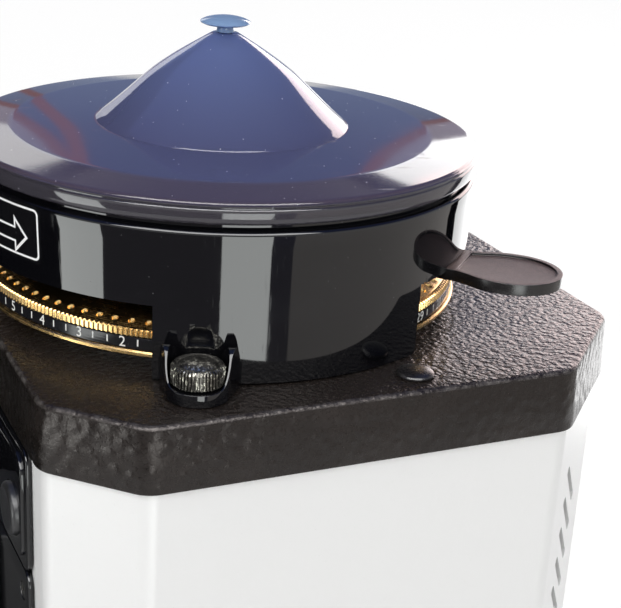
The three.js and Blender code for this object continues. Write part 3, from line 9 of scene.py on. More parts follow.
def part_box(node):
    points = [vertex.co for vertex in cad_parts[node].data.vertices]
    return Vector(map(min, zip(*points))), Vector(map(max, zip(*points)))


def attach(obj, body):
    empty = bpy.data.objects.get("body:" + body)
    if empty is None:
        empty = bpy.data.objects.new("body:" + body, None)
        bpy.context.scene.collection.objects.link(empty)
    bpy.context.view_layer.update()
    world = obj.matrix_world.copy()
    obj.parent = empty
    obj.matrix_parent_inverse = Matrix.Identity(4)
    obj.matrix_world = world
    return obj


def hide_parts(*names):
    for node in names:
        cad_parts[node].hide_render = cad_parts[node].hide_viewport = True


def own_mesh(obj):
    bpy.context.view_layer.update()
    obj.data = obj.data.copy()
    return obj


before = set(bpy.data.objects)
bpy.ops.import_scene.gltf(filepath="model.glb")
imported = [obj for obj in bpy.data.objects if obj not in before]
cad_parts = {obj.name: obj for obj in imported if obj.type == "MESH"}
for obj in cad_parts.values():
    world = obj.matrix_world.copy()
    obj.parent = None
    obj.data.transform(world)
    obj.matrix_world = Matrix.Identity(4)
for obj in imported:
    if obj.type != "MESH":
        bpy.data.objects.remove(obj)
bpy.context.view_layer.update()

bl_info = {
    "name": "Coffee grinder with an eight-sided top plate",
    "version": (1, 0, 0),
    "blender": (4, 5, 0),
    "location": "3D View > Sidebar > Grinder",
    "description": "Models the grinder's visible pieces and their finishes around its packed frame",
    "category": "Object",
}

MM = 0.001
WELD = 0.000005
PLATE_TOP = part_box("top_plate")[1].z
AXIS_Y = (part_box("number_band")[0].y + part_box("number_band")[1].y) / 2
FORWARDS = (0, -1, 0)
BACKWARDS = (0, 1, 0)

# Angles in degrees: between two clamps, the first column of a turned piece, and the arrow plate's middle.
THIRD = 120
FIRST_COLUMN = 0.5
LABEL_ANGLE = -81.3

# Lengths in millimetres, as everywhere below, from the grinding axis and the plate's top face.
GROUND = -PLATE_TOP / MM
CLAMP_CIRCLE = 81
CONTROLS_BACK = -72.1
CONTROLS_FACE = -73.6
SPOUT_BACK = -73.7
BUTTON_LEVEL = -41
FITTING_LEVEL = GROUND + 88
SWITCH_X = -45
GLAND_X = 45


# Places and outlines


def at(x, y, z=0.0):
    return Vector((x * MM, AXIS_Y + y * MM, PLATE_TOP + z * MM))


def mm(length):
    return length / MM


def polar(radius, angle):
    turn = math.radians(angle)
    return radius * math.cos(turn), radius * math.sin(turn)


def turn_about_axis(angle):
    """The matrix that turns a piece about the grinding axis."""
    centre = Matrix.Translation((0, AXIS_Y, 0))
    return centre @ Matrix.Rotation(math.radians(angle), 4, "Z") @ centre.inverted()


def rounded(corners, radius, steps=6):
    """Points along an outline whose corners are rounded off."""
    points = []
    radii = radius if isinstance(radius, (list, tuple)) else [radius] * len(corners)
    for i, corner in enumerate(corners):
        here = Vector(corner)
        back = (Vector(corners[i - 1]) - here).normalized()
        ahead = (Vector(corners[(i + 1) % len(corners)]) - here).normalized()
        if not radii[i]:
            points.append(tuple(here))
            continue
        half = math.acos(max(-1.0, min(1.0, back.dot(ahead)))) / 2
        reach = radii[i] / math.tan(half)
        middle = here + (back + ahead).normalized() * (radii[i] / math.sin(half))
        first = here + back * reach - middle
        last = here + ahead * reach - middle
        sweep = first.angle_signed(last) if len(first) == 2 else first.angle(last)
        for step in range(steps + 1):
            share = step / steps
            turn = Matrix.Rotation(-sweep * share, 2)
            points.append(tuple(middle + turn @ first))
    return points


def arc(centre, radius, first, last, steps):
    """Points of (x, y) along part of a circle."""
    points = []
    for step in range(steps + 1):
        x, y = polar(radius, first + (last - first) * step / steps)
        points.append((centre[0] + x, centre[1] + y))
    return points


def sector(inner, outer, first, last, steps):
    """Outline of part of a flat ring, between two angles."""
    return arc((0, 0), outer, first, last, steps) + arc((0, 0), inner, last, first, steps)


def oblong(half, low, high, radius, steps, middle=0):
    """Outline of a rectangle with rounded corners, as wide to each side of its middle."""
    left, right = middle - half, middle + half
    return rounded([(left, low), (right, low), (right, high), (left, high)], radius, steps)


# Modelling


def clear_selection():
    if bpy.context.object and bpy.context.object.mode != "OBJECT":
        bpy.ops.object.mode_set(mode="OBJECT")
    bpy.ops.object.select_all(action="DESELECT")


def take(*pieces):
    """Selects the pieces alone, the first of them active."""
    clear_selection()
    for piece in pieces:
        piece.select_set(True)
    bpy.context.view_layer.objects.active = pieces[0]


def edit(piece):
    take(piece)
    bpy.ops.object.mode_set(mode="EDIT")
    bpy.ops.mesh.select_all(action="SELECT")
    return piece


def leave(piece):
    bpy.ops.object.mode_set(mode="OBJECT")
    return piece


def pick(piece, kind, test):
    """Selects, in edit mode, the verts, edges or faces that pass the test."""
    modes = {"verts": "VERT", "edges": "EDGE", "faces": "FACE"}
    bpy.ops.mesh.select_mode(type=modes[kind])
    bpy.ops.mesh.select_all(action="DESELECT")
    mesh = bmesh.from_edit_mesh(piece.data)
    for item in getattr(mesh, kind):
        if test(item):
            item.select_set(True)
    mesh.select_flush_mode()
    bmesh.update_edit_mesh(piece.data)


def middle_of(item):
    """Middle of an edge or face, in millimetres from the axis and the plate's top."""
    corners = [corner.co for corner in item.verts]
    middle = sum(corners, Vector()) / len(corners)
    return Vector((middle.x, middle.y - AXIS_Y, middle.z - PLATE_TOP)) / MM


def wire(name, points, closed=True):
    """A line through the points, extruded from a primitive drawn together to one corner."""
    clear_selection()
    first = Vector(points[0])
    bpy.ops.mesh.primitive_plane_add(size=MM, location=first)
    piece = bpy.context.object
    piece.name = piece.data.name = name
    bpy.ops.object.transform_apply(location=True, rotation=False, scale=False)
    bpy.ops.object.mode_set(mode="EDIT")
    bpy.ops.mesh.select_mode(type="VERT")
    bpy.ops.mesh.select_all(action="SELECT")
    bpy.ops.mesh.merge(type="CENTER")
    here = first
    for point in list(points[1:]) + ([points[0]] if closed else []):
        step = Vector(point) - here
        bpy.ops.mesh.extrude_vertices_move(TRANSFORM_OT_translate={"value": step})
        here = Vector(point)
    bpy.ops.mesh.select_all(action="SELECT")
    if closed:
        bpy.ops.mesh.remove_doubles(threshold=WELD)
    return piece


def close_up():
    """Merges doubles and turns every face outwards, in edit mode."""
    bpy.ops.mesh.select_all(action="SELECT")
    bpy.ops.mesh.remove_doubles(threshold=WELD)
    bpy.ops.mesh.delete_loose()
    bpy.ops.mesh.select_all(action="SELECT")
    bpy.ops.mesh.normals_make_consistent(inside=False)


def turned(name, profile, steps=96, through=(0, 0, 0), along=(0, 0, 1)):
    """A profile of (radius, height) pairs spun about an axis."""
    centre = at(*through)
    axis = Vector(along)
    beside = Vector((*polar(1, FIRST_COLUMN), 0)) if axis.z else Vector((1, 0, 0))
    points = [centre + (beside * radius + axis * height) * MM for radius, height in profile]
    piece = wire(name, points, closed=profile[0][0] > 0 or profile[-1][0] > 0)
    bpy.ops.mesh.spin(steps=steps, angle=math.radians(360), center=centre, axis=axis)
    close_up()
    return leave(piece)


def cylinder(name, radius, low, high, steps, through=(0, 0, 0), along=(0, 0, 1)):
    return turned(name, [(0, low), (radius, low), (radius, high), (0, high)], steps, through, along)


def slab(name, points, push):
    """A filled outline extruded along a direction."""
    piece = wire(name, points)
    bpy.ops.mesh.edge_face_add()
    bpy.ops.mesh.extrude_region_move(TRANSFORM_OT_translate={"value": push})
    close_up()
    return leave(piece)


def raised(name, outline, low, high):
    """An outline of (x, y) points raised from one height to another."""
    return slab(name, [at(x, y, low) for x, y in outline], (0, 0, (high - low) * MM))


def sideways(name, outline, left, right):
    """An outline of (y, z) points pushed from one X to another."""
    return slab(name, [at(left, y, z) for y, z in outline], ((right - left) * MM, 0, 0))


def forwards(name, outline, back, front):
    """An outline of (x, z) points pushed from one Y to another."""
    return slab(name, [at(x, back, z) for x, z in outline], (0, (front - back) * MM, 0))


def block(name, low, high):
    """A cube primitive stretched between two corners."""
    clear_selection()
    low, high = at(*low), at(*high)
    bpy.ops.mesh.primitive_cube_add(size=1, location=(low + high) / 2, scale=high - low)
    piece = bpy.context.object
    piece.name = piece.data.name = name
    bpy.ops.object.transform_apply(location=True, rotation=True, scale=True)
    return piece


def placed(piece, matrix):
    """Moves a piece and keeps its place in its mesh."""
    take(piece)
    piece.matrix_world = matrix @ piece.matrix_world
    bpy.ops.object.transform_apply(location=True, rotation=True, scale=True)
    return piece


def copied(piece, matrix, name):
    take(piece)
    bpy.ops.object.duplicate()
    copy = bpy.context.object
    copy.name = copy.data.name = name
    return placed(copy, matrix)


def joined(name, pieces):
    take(*pieces)
    if len(pieces) > 1:
        bpy.ops.object.join()
    piece = bpy.context.object
    piece.name = piece.data.name = name
    return piece


def modified(piece, kind, **settings):
    """Adds a modifier and applies it."""
    take(piece)
    modifier = piece.modifiers.new(kind.title(), kind)
    for name, value in settings.items():
        setattr(modifier, name, value)
    bpy.ops.object.modifier_apply(modifier=modifier.name)
    return piece


def combined(piece, operation, others):
    for other in others:
        modified(piece, "BOOLEAN", operation=operation, object=other, solver="EXACT")
        bpy.data.objects.remove(other)
    return piece


def cut(piece, *cutters):
    return combined(piece, "DIFFERENCE", cutters)


def fused(piece, *others):
    return combined(piece, "UNION", others)


def softened(piece, width, segments=2, angle=40):
    """Bevels the edges that are sharper than an angle."""
    return modified(piece, "BEVEL", width=width * MM, segments=segments, limit_method="ANGLE",
                    angle_limit=math.radians(angle), use_clamp_overlap=True)


def bevel_picked(piece, test, width, segments):
    """Bevels the edges that pass a test."""
    edit(piece)
    pick(piece, "edges", test)
    bpy.ops.mesh.bevel(offset=width * MM, segments=segments, affect="EDGES")
    return leave(piece)


def grooved(piece, place, teeth, reach, part, share):
    """Draws in the corners beyond a reach that stand in one part of each tooth's pitch."""
    centre = at(*place)
    pitch = 360 / teeth

    def in_groove(corner):
        spoke = corner.co - centre
        turn = (math.degrees(math.atan2(spoke.y, spoke.x)) - FIRST_COLUMN) % pitch
        wide = math.hypot(spoke.x, spoke.y) > reach * MM
        return wide and part[0] < turn / pitch < part[1]

    edit(piece)
    pick(piece, "verts", in_groove)
    bpy.ops.transform.resize(value=(share, share, 1), center_override=centre)
    leave(piece)


def finished(piece, material, body, replaces=(), smooth=30):
    """Shades a piece, gives it its material and hands it to the frame."""
    take(piece)
    bpy.ops.object.shade_smooth_by_angle(angle=math.radians(smooth))
    piece.data.materials.clear()
    piece.data.materials.append(material)
    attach(piece, body)
    if replaces:
        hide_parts(*replaces)
    return piece


# Materials


class Value:
    """One output socket, with the arithmetic that adds Math nodes."""

    def __init__(self, paint, socket):
        self.paint = paint
        self.socket = socket

    def _maths(self, operation, first, second):
        return self.paint.add("ShaderNodeMath", {"operation": operation}, {0: first, 1: second})

    def __add__(self, other):
        return self._maths("ADD", self, other)

    def __radd__(self, other):
        return self._maths("ADD", other, self)

    def __sub__(self, other):
        return self._maths("SUBTRACT", self, other)

    def __rsub__(self, other):
        return self._maths("SUBTRACT", other, self)

    def __mul__(self, other):
        return self._maths("MULTIPLY", self, other)

    def __rmul__(self, other):
        return self._maths("MULTIPLY", other, self)

    def __pow__(self, other):
        return self._maths("POWER", self, other)


class Tree:
    """A node tree, and the nodes that are added to it."""

    def __init__(self, tree):
        self.tree = tree
        tree.nodes.clear()

    def add(self, kind, settings=None, sockets=None, out=0):
        """Adds a node with its settings first, then its sockets; returns one output."""
        node = self.tree.nodes.new(kind)
        for name, value in (settings or {}).items():
            setattr(node, name, value)
        for key, value in (sockets or {}).items():
            self.feed(node.inputs[key], value)
        return Value(self, node.outputs[out]) if node.outputs else None

    def feed(self, socket, value):
        if isinstance(value, Value):
            self.tree.links.new(value.socket, socket)
        elif socket.type == "RGBA" and len(value) == 3:
            socket.default_value = (*value, 1.0)
        else:
            socket.default_value = value

    def mix(self, share, first, second):
        return self.add("ShaderNodeMix", {"data_type": "RGBA"}, {0: share, 6: first, 7: second}, out=2)

    def between(self, value, low, high, first=0.0, last=1.0):
        sockets = {0: value, 1: low, 2: high, 3: first, 4: last}
        return self.add("ShaderNodeMapRange", {"clamp": True}, sockets)

    def part(self, vector, axis):
        return self.add("ShaderNodeSeparateXYZ", None, {0: vector}, out=axis)

    def ray(self, kind):
        return self.add("ShaderNodeLightPath", out=f"Is {kind} Ray")

    def seen_as_white(self):
        """One for camera, glossy and transmission rays, which take the background as white."""
        return self.ray("Camera") + self.ray("Glossy") + self.ray("Transmission")


class Paint(Tree):
    """The node tree of one material."""

    def __init__(self, name):
        self.material = bpy.data.materials.new(name)
        self.material.use_nodes = True
        super().__init__(self.material.node_tree)
        self.shader = self.tree.nodes.new("ShaderNodeBsdfPrincipled")
        self.ending = self.tree.nodes.new("ShaderNodeOutputMaterial")
        self.tree.links.new(self.shader.outputs[0], self.ending.inputs[0])
        self.place = self.add("ShaderNodeTexCoord", out="Object")

    def coat(self, **sockets):
        """Feeds the shader's sockets, named with underscores for spaces."""
        for name, value in sockets.items():
            self.feed(self.shader.inputs[name.replace("_", " ")], value)
        return self.material

    def noise(self, scale, detail=2.0, roughness=0.5, place=None):
        sockets = {"Vector": place or self.place, "Scale": scale, "Detail": detail, "Roughness": roughness}
        return self.add("ShaderNodeTexNoise", None, sockets)

    def cells(self, scale, feature, place=None):
        sockets = {"Vector": place or self.place, "Scale": scale}
        return self.add("ShaderNodeTexVoronoi", {"feature": feature}, sockets)

    def bump(self, height, distance, strength):
        return self.add("ShaderNodeBump", None, {"Height": height, "Distance": distance, "Strength": strength})

    def facing_up(self):
        """How far a face looks upwards, from -1 to 1."""
        return self.part(self.add("ShaderNodeNewGeometry", out="True Normal"), "Z")

    def from_axis(self):
        """Distance from the grinding axis."""
        x = self.part(self.place, "X")
        y = self.part(self.place, "Y") - AXIS_Y
        return (x * x + y * y) ** 0.5

    def stretched(self, x=1.0, y=1.0, z=1.0):
        return self.add("ShaderNodeVectorMath", {"operation": "MULTIPLY"}, {0: self.place, 1: (x, y, z)})


def scaled(colour, share):
    return tuple(channel * share for channel in colour)


def wrinkled_black(colour):
    """Baked wrinkle paint: rounded lumps about a millimetre across, with painted light and shade: the top lighter, the
    sides darker, and the edges pale, partly from wear and partly as painted highlight.
    """
    paint = Paint("wrinkled_black")
    drift = paint.noise(420, 2.0)
    shifted = paint.add("ShaderNodeMix", {"data_type": "VECTOR"}, {0: 0.0012, 4: paint.place, 5: drift}, out=1)
    grain = paint.noise(1500, 2.0)
    upward = paint.facing_up()
    flat = paint.between(upward, 0.3, 0.9)
    fine = (1 - paint.cells(680, "SMOOTH_F1", shifted)) * 0.75 + grain * 0.25
    broad = (1 - paint.cells(330, "SMOOTH_F1", shifted)) * 0.85 + grain * 0.12
    height = fine * flat + broad * (1 - flat)
    # The pale edges are partly rubbed wear and partly a painted highlight along the chamfers.
    edge = paint.between(upward, 0.3, 0.55) * paint.between(upward, 0.97, 0.85)
    rubbed = edge * paint.between(paint.noise(260, 4.0, 0.7), 0.42, 0.62)
    dust = paint.between(paint.noise(60, 3.0), 0.45, 0.75)
    # Painted light and shade: the top faces take a lighter copy of the paint, the sides a darker one.
    base = paint.mix(flat, scaled(colour, 0.54), scaled(colour, 1.15))
    base = paint.mix(dust * 0.3, base, scaled(colour, 2.4))
    # Mixes in the pale edges: wear and painted highlight.
    shade = paint.mix(rubbed * 0.8, base, (0.11, 0.10, 0.095))
    roughness = paint.between(grain, 0.3, 0.7, 0.24, 0.37) - rubbed * 0.08
    return paint.coat(Base_Color=shade, Roughness=roughness, Specular_IOR_Level=0.30,
                      Specular_Tint=(1.0, 0.92, 0.89), Normal=paint.bump(height, 0.0006, 0.9))


def white_enamel(colour):
    """Powder-coated white sheet: a faint orange peel and duller, slightly greyed patches."""
    paint = Paint("white_enamel")
    patches = paint.between(paint.noise(14, 4.0, 0.6), 0.35, 0.75)
    peel = paint.noise(520, 2.0)
    specks = paint.between(paint.noise(1900, 1.0), 0.74, 0.8)
    shade = paint.mix(patches * 0.12, colour, scaled(colour, 0.95))
    shade = paint.mix(specks * 0.25, shade, (0.55, 0.55, 0.53))
    return paint.coat(Base_Color=shade, Roughness=patches * 0.03 + 0.29,
                      Normal=paint.bump(peel, 0.00006, 0.6))


def polished_black(name, colour, wipe):
    """Moulded gloss black: mirror-like, with wiped smears, dust and hair-fine scratches."""
    paint = Paint(name)
    smears = paint.between(paint.noise(16, 5.0, 0.62, paint.stretched(1, 1, 2.2)), 0.48, 0.8)
    hairs = paint.between(paint.noise(90, 1.0, 0.5, paint.stretched(14, 14, 1)), 0.68, 0.72)
    dust = paint.between(paint.noise(1300, 1.0), 0.78, 0.82)
    shade = paint.mix(dust * 0.35 + smears * 0.02, colour, (0.16, 0.16, 0.17))
    ripple = paint.noise(30, 1.0)
    return paint.coat(Base_Color=shade, Roughness=smears * wipe + hairs * 0.08 + dust * 0.3 + 0.035,
                      Normal=paint.bump(ripple, 0.00012, 0.5))


def turned_brass(colour):
    """Lathe-turned brass: fine rings round the axis, and browner on its upward faces as painted shade."""
    paint = Paint("turned_brass")
    across = paint.add("ShaderNodeCombineXYZ", None, {0: paint.from_axis(), 1: paint.part(paint.place, "Z")})
    rings = paint.noise(5200, 2.0, 0.6, across)
    tarnish = paint.between(paint.noise(70, 4.0, 0.6), 0.4, 0.7)
    # Mask of the upward faces, which take painted shade.
    upward = paint.between(paint.facing_up(), 0.2, 0.9)
    shade = paint.mix(tarnish * 0.4 + rings * 0.15, colour, (0.52, 0.30, 0.10))
    # Painted shade: the upward faces of the crown are darkened to brown.
    shade = paint.mix(upward * 0.35, shade, (0.40, 0.21, 0.07))
    return paint.coat(Base_Color=shade, Metallic=1.0, Roughness=rings * 0.16 + tarnish * 0.1 + 0.14,
                      Normal=paint.bump(rings, 0.00003, 0.6))


def anodised_black(colour):
    """Black scale band, turned, with faint rings and rubbed specks."""
    paint = Paint("anodised_black")
    rings = paint.noise(2600, 2.0, 0.5, paint.stretched(0.02, 0.02, 1))
    rubbed = paint.between(paint.noise(900, 2.0), 0.68, 0.78)
    shade = paint.mix(rubbed * 0.3, colour, (0.10, 0.09, 0.08))
    return paint.coat(Base_Color=shade, Roughness=rings * 0.1 + 0.1, Specular_IOR_Level=0.35,
                      Normal=paint.bump(rings, 0.00003, 0.5))


def printed_white(colour):
    """Pad-printed white, a little worn through."""
    paint = Paint("printed_white")
    worn = paint.between(paint.noise(2400, 3.0, 0.6), 0.56, 0.72)
    shade = paint.mix(worn * 0.55, colour, (0.22, 0.22, 0.22))
    return paint.coat(Base_Color=shade, Roughness=worn * 0.2 + 0.42, Normal=paint.bump(worn, 0.00002, 0.5))


def smoked_plastic(colour, crown):
    """Glossy moulding smoked blue-violet, its colour also holding painted sky reflection: dark on the skirt, a darker
    band of painted shade on the outer brim, and lighter and bluer towards its peak. Wiping hazes, dust and hair
    scratches.
    """
    paint = Paint("smoked_plastic")
    level = paint.part(paint.place, "Z") - PLATE_TOP
    height = paint.between(level, 0.051, 0.078)
    wiped = paint.between(paint.noise(22, 5.0, 0.65, paint.stretched(1, 1, 1.6)), 0.5, 0.85)
    dust = paint.between(paint.noise(900, 1.0), 0.775, 0.80)
    hairs = paint.between(paint.noise(60, 1.0, 0.5, paint.stretched(9, 1.4, 5)), 0.70, 0.72)
    flow = paint.noise(18, 1.0)
    # Painted shade: a darker violet for the outer brim band and a dark skirt, where little sky is mirrored.
    violet, skirt = (0.118, 0.092, 0.132), (0.070, 0.065, 0.080)
    brim = paint.mix(paint.between(paint.from_axis(), 0.0605, 0.0622), colour, violet)
    # Painted reflection: the colour grows lighter and bluer from the brim up to the peak.
    shade = paint.mix(paint.between(level, 0.0488, 0.0492), skirt, paint.mix(height, brim, crown))
    shade = paint.mix(wiped * 0.12, shade, (0.22, 0.22, 0.30))
    shade = paint.mix(dust * 0.5, shade, (0.9, 0.9, 0.95))
    return paint.coat(Base_Color=shade, Transmission_Weight=0.45, IOR=1.5,
                      Roughness=wiped * 0.06 + hairs * 0.12 + dust * 0.25 + 0.06,
                      Normal=paint.bump(flow, 0.00015, 0.4))


def satin_plastic(name, colour, scale=900, gloss=0.5):
    """Spark-textured moulded plastic, polished a little on its high spots."""
    paint = Paint(name)
    grain = paint.noise(scale, 3.0, 0.65)
    hands = paint.between(paint.noise(45, 3.0), 0.4, 0.75)
    shade = paint.mix(grain * 0.5, colour, scaled(colour, 1.7))
    return paint.coat(Base_Color=shade, Roughness=gloss + grain * 0.15 - hands * 0.12,
                      Normal=paint.bump(grain, 0.0001, 0.7))


def blackened_steel(colour):
    """Chemically blackened steel: granular, with bright rubbed specks."""
    paint = Paint("blackened_steel")
    grain = paint.noise(1700, 4.0, 0.7)
    bare = paint.between(paint.noise(1100, 3.0, 0.7), 0.52, 0.62)
    shade = paint.mix(bare * 0.85, colour, (0.62, 0.60, 0.52))
    return paint.coat(Base_Color=shade, Metallic=0.95, Roughness=0.27 - bare * 0.1,
                      Normal=paint.bump(grain, 0.00009, 0.8))


def dusty_leaf(colour):
    """Brown moulding, matt and dusty on top; its sides glossier and painted nearly black as shade."""
    paint = Paint("gate_brown")
    flat = paint.between(paint.facing_up(), 0.75, 0.97)
    grain = paint.noise(1500, 4.0, 0.7)
    dust = paint.between(paint.noise(2600, 2.0), 0.52, 0.66)
    worn = paint.between(paint.noise(240, 3.0, 0.6), 0.45, 0.75)
    top = paint.mix(dust * 0.5 + worn * 0.25, colour, scaled(colour, 2.6))
    # Painted shade: the sides and edges take near-black instead of the brown.
    shade = paint.mix(flat, (0.006, 0.005, 0.005), top)
    return paint.coat(Base_Color=shade, Roughness=flat * 0.3 + grain * 0.1 + 0.2,
                      Normal=paint.bump(grain * flat, 0.00012, 0.8))


def ground_steel(name, colour, roughness=0.24, along=(1.0, 1.0, 12.0)):
    """Ground or drawn steel with fine parallel marks."""
    paint = Paint(name)
    marks = paint.noise(420, 3.0, 0.7, paint.stretched(*along))
    film = paint.between(paint.noise(40, 3.0), 0.4, 0.75)
    shade = paint.mix(film * 0.3 + marks * 0.2, colour, scaled(colour, 0.72))
    return paint.coat(Base_Color=shade, Metallic=1.0, Roughness=marks * 0.16 + film * 0.08 + roughness,
                      Normal=paint.bump(marks, 0.00003, 0.5))


def cast_metal(name, colour, roughness=0.45):
    """Die-cast aluminium: sandy skin with darker flow patches."""
    paint = Paint(name)
    skin = paint.noise(1100, 4.0, 0.7)
    patches = paint.between(paint.noise(55, 4.0), 0.35, 0.7)
    shade = paint.mix(patches * 0.4, colour, scaled(colour, 0.7))
    return paint.coat(Base_Color=shade, Metallic=1.0, Roughness=skin * 0.2 + roughness,
                      Normal=paint.bump(skin, 0.00012, 0.7))


def moulded_rubber(colour):
    """Black rubber with a dusty bloom."""
    paint = Paint("moulded_rubber")
    grain = paint.noise(1400, 3.0, 0.6)
    bloom = paint.between(paint.noise(80, 4.0), 0.4, 0.8)
    shade = paint.mix(bloom * 0.5, colour, scaled(colour, 3))
    return paint.coat(Base_Color=shade, Roughness=grain * 0.1 + 0.78, Normal=paint.bump(grain, 0.0001, 0.6))


def wound_core(colour):
    """Stator stack: thin laminations, with copper turns on the wound ends."""
    paint = Paint("wound_core")
    height = paint.part(paint.place, "Z")
    leaves = paint.add("ShaderNodeTexWave", {"wave_type": "BANDS", "bands_direction": "Z"},
                       {"Vector": paint.place, "Scale": 320.0, "Distortion": 0.4, "Detail": 1.0})
    low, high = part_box("stator")
    inner, outer = 0.0088, 0.0092
    ends = 1 - (paint.between(height, low.z + inner, low.z + outer)
                * paint.between(height, high.z - inner, high.z - outer))
    strands = paint.noise(1800, 2.0, 0.5, paint.stretched(1, 1, 0.2))
    core = paint.mix(leaves * 0.6, colour, scaled(colour, 0.45))
    copper = paint.mix(strands, (0.55, 0.22, 0.08), (0.32, 0.10, 0.03))
    return paint.coat(Base_Color=paint.mix(ends, core, copper), Metallic=0.85, Roughness=leaves * 0.15 + 0.35,
                      Normal=paint.bump(leaves * 0.5 + strands * 0.5, 0.0002, 0.6))


def circuit_board(colour):
    """Varnished board: tracks as a fine cell pattern, black on the parts that stand on it."""
    paint = Paint("circuit_board")
    tracks = paint.between(paint.cells(260.0, "DISTANCE_TO_EDGE"), 0.06, 0.09)
    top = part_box("control_board")[0].z + 0.0019
    parts = paint.between(paint.part(paint.place, "Z"), top, top + 0.0002)
    copper = paint.mix(tracks, (0.07, 0.20, 0.09), colour)
    shade = paint.mix(parts, copper, (0.02, 0.02, 0.022))
    return paint.coat(Base_Color=shade, Roughness=tracks * 0.1 + 0.3, Normal=paint.bump(tracks, 0.00005, 0.6))


def display_window(colour):
    """Smoked window over an unlit display: darker cells show faintly behind the gloss."""
    paint = Paint("display_window")
    upright = paint.add("ShaderNodeMapping", None, {"Vector": paint.place, "Rotation": (math.radians(90), 0, 0)})
    grid = paint.add("ShaderNodeTexBrick", None, {
        "Vector": upright, "Scale": 180.0, "Color1": (0.010, 0.014, 0.017), "Color2": (0.012, 0.017, 0.02),
        "Mortar": (0.005, 0.007, 0.009), "Mortar Size": 0.03})
    smears = paint.between(paint.noise(40, 4.0), 0.45, 0.8)
    return paint.coat(Base_Color=paint.mix(0.5, colour, grid), Roughness=smears * 0.08 + 0.03,
                      Normal=paint.bump(smears, 0.00001, 0.4))


# Sizes and colours that a user would change


def length(name, description, default):
    return FloatProperty(name=name, description=description, default=default, min=0.0, unit="LENGTH", precision=4)


def angle(name, description, default):
    return FloatProperty(name=name, description=description, default=math.radians(default), subtype="ANGLE")


def colour(name, description, default):
    return FloatVectorProperty(name=name, description=description, default=default, subtype="COLOR",
                               size=3, min=0.0, max=1.0)


def count(name, description, default):
    return IntProperty(name=name, description=description, default=default, min=1)


class GrinderPlate(bpy.types.PropertyGroup):
    half_width: length("Half width", "From the grinding axis to the plate's side", 0.0888)
    front: length("Front", "From the grinding axis to the front edge", 0.0733)
    rear: length("Rear", "From the grinding axis to the rear edge", 0.1067)
    front_corner: length("Front corner", "Length cut off each front corner", 0.022)
    rear_corner: length("Rear corner", "Length cut off each rear corner", 0.034)
    corner_radius: length("Corner radius", "Rounding between two sides", 0.009)
    skirt: length("Skirt", "Height of the plate's side", 0.0186)
    draft: length("Draft", "How much narrower the top is than the foot of the skirt", 0.0007)
    edge: length("Edge", "Rounding of the top edge", 0.0016)
    paint: colour("Paint", "Wrinkle paint", (0.0125, 0.0096, 0.0082))


class GrinderShell(bpy.types.PropertyGroup):
    inset: length("Inset", "How far the casing stands back under the plate", 0.0015)
    wall: length("Wall", "Thickness of the casing", 0.0025)
    louvres: count("Louvres", "Slots in each rear corner face", 12)
    louvre_pitch: length("Louvre pitch", "Distance between the slots", 0.0103)
    paint: colour("Paint", "White enamel", (0.83, 0.83, 0.82))
    apron: length("Apron", "Reach of the base in front of the casing", 0.092)


class GrinderCollar(bpy.types.PropertyGroup):
    base_radius: length("Base radius", "Outside radius at the plate", 0.0738)
    top_radius: length("Top radius", "Outside radius at the top edge", 0.0748)
    height: length("Height", "From the plate to the top edge", 0.0422)
    edge: length("Edge", "Rounding of the top edge", 0.0012)
    window_height: length("Window height", "From the plate to the windows' top", 0.0211)
    window_start: angle("Window start", "Where the first window begins", 27)
    window_sweep: angle("Window sweep", "How far each window runs", 59)
    clamp_angle: angle("Clamp angle", "Where the first thumb screw stands", -24.3)
    gate_angle: angle("Gate angle", "Where the gate's tongue comes out", 45)
    gloss: colour("Gloss", "Moulded gloss black", (0.003, 0.003, 0.004))


class GrinderRing(bpy.types.PropertyGroup):
    teeth: count("Teeth", "Teeth of the knurled rim", 306)
    dimples: count("Dimples", "Click dimples in the crown", 90)
    numbers: count("Numbers", "Numbers round the scale", 34)
    figure: length("Figure", "Height of the printed numbers", 0.0029)
    brass: colour("Brass", "Turned brass", (0.86, 0.60, 0.26))
    band: colour("Band", "Scale band", (0.010, 0.010, 0.012))
    print_white: colour("Print", "Printed marks", (0.82, 0.82, 0.79))


class GrinderLid(bpy.types.PropertyGroup):
    radius: length("Radius", "Outside radius of the rim", 0.075)
    cone_base: length("Cone base", "Radius of the cone's foot", 0.0365)
    cone_top: length("Cone top", "Radius of the cone's top", 0.0038)
    cone_height: length("Cone height", "Height of the cone", 0.0253)
    # The brim and peak colours hold the smoked tint together with painted sky reflection; the peak's is lighter.
    brim: colour("Brim", "Smoked plastic of the brim", (0.134, 0.141, 0.282))
    peak: colour("Peak", "Smoked plastic towards the peak", (0.205, 0.265, 0.540))
    # The knob's blue is lightened as a painted reflection of the bright sky it mirrors.
    knob: colour("Knob", "Gloss of the knob", (0.225, 0.345, 0.560))


class GrinderFront(bpy.types.PropertyGroup):
    half_width: length("Half width", "Half width of the front panels", 0.0556)
    seam: length("Seam", "Depth of the seam between the panels", 0.0558)
    button_radius: length("Button radius", "Radius of the round buttons", 0.0075)
    button_x: length("Button X", "How far the buttons stand from the middle", 0.043)
    fork_reach: length("Fork reach", "Length of the fork's prongs", 0.088)
    gloss: colour("Gloss", "Gloss black of the panels", (0.005, 0.005, 0.006))


class GrinderStage(bpy.types.PropertyGroup):
    floor: colour("Floor", "Pale floor", (0.80, 0.80, 0.80))
    sky: FloatProperty(name="Sky", description="Even light from all round", default=0.5, min=0.0)
    key: FloatProperty(name="Key lamp", description="Power of the large lamp", default=11.0, min=0.0, unit="POWER")
    fill: FloatProperty(name="Fill lamp", description="Power of the side lamp", default=7.0, min=0.0, unit="POWER")


# Plate and casing


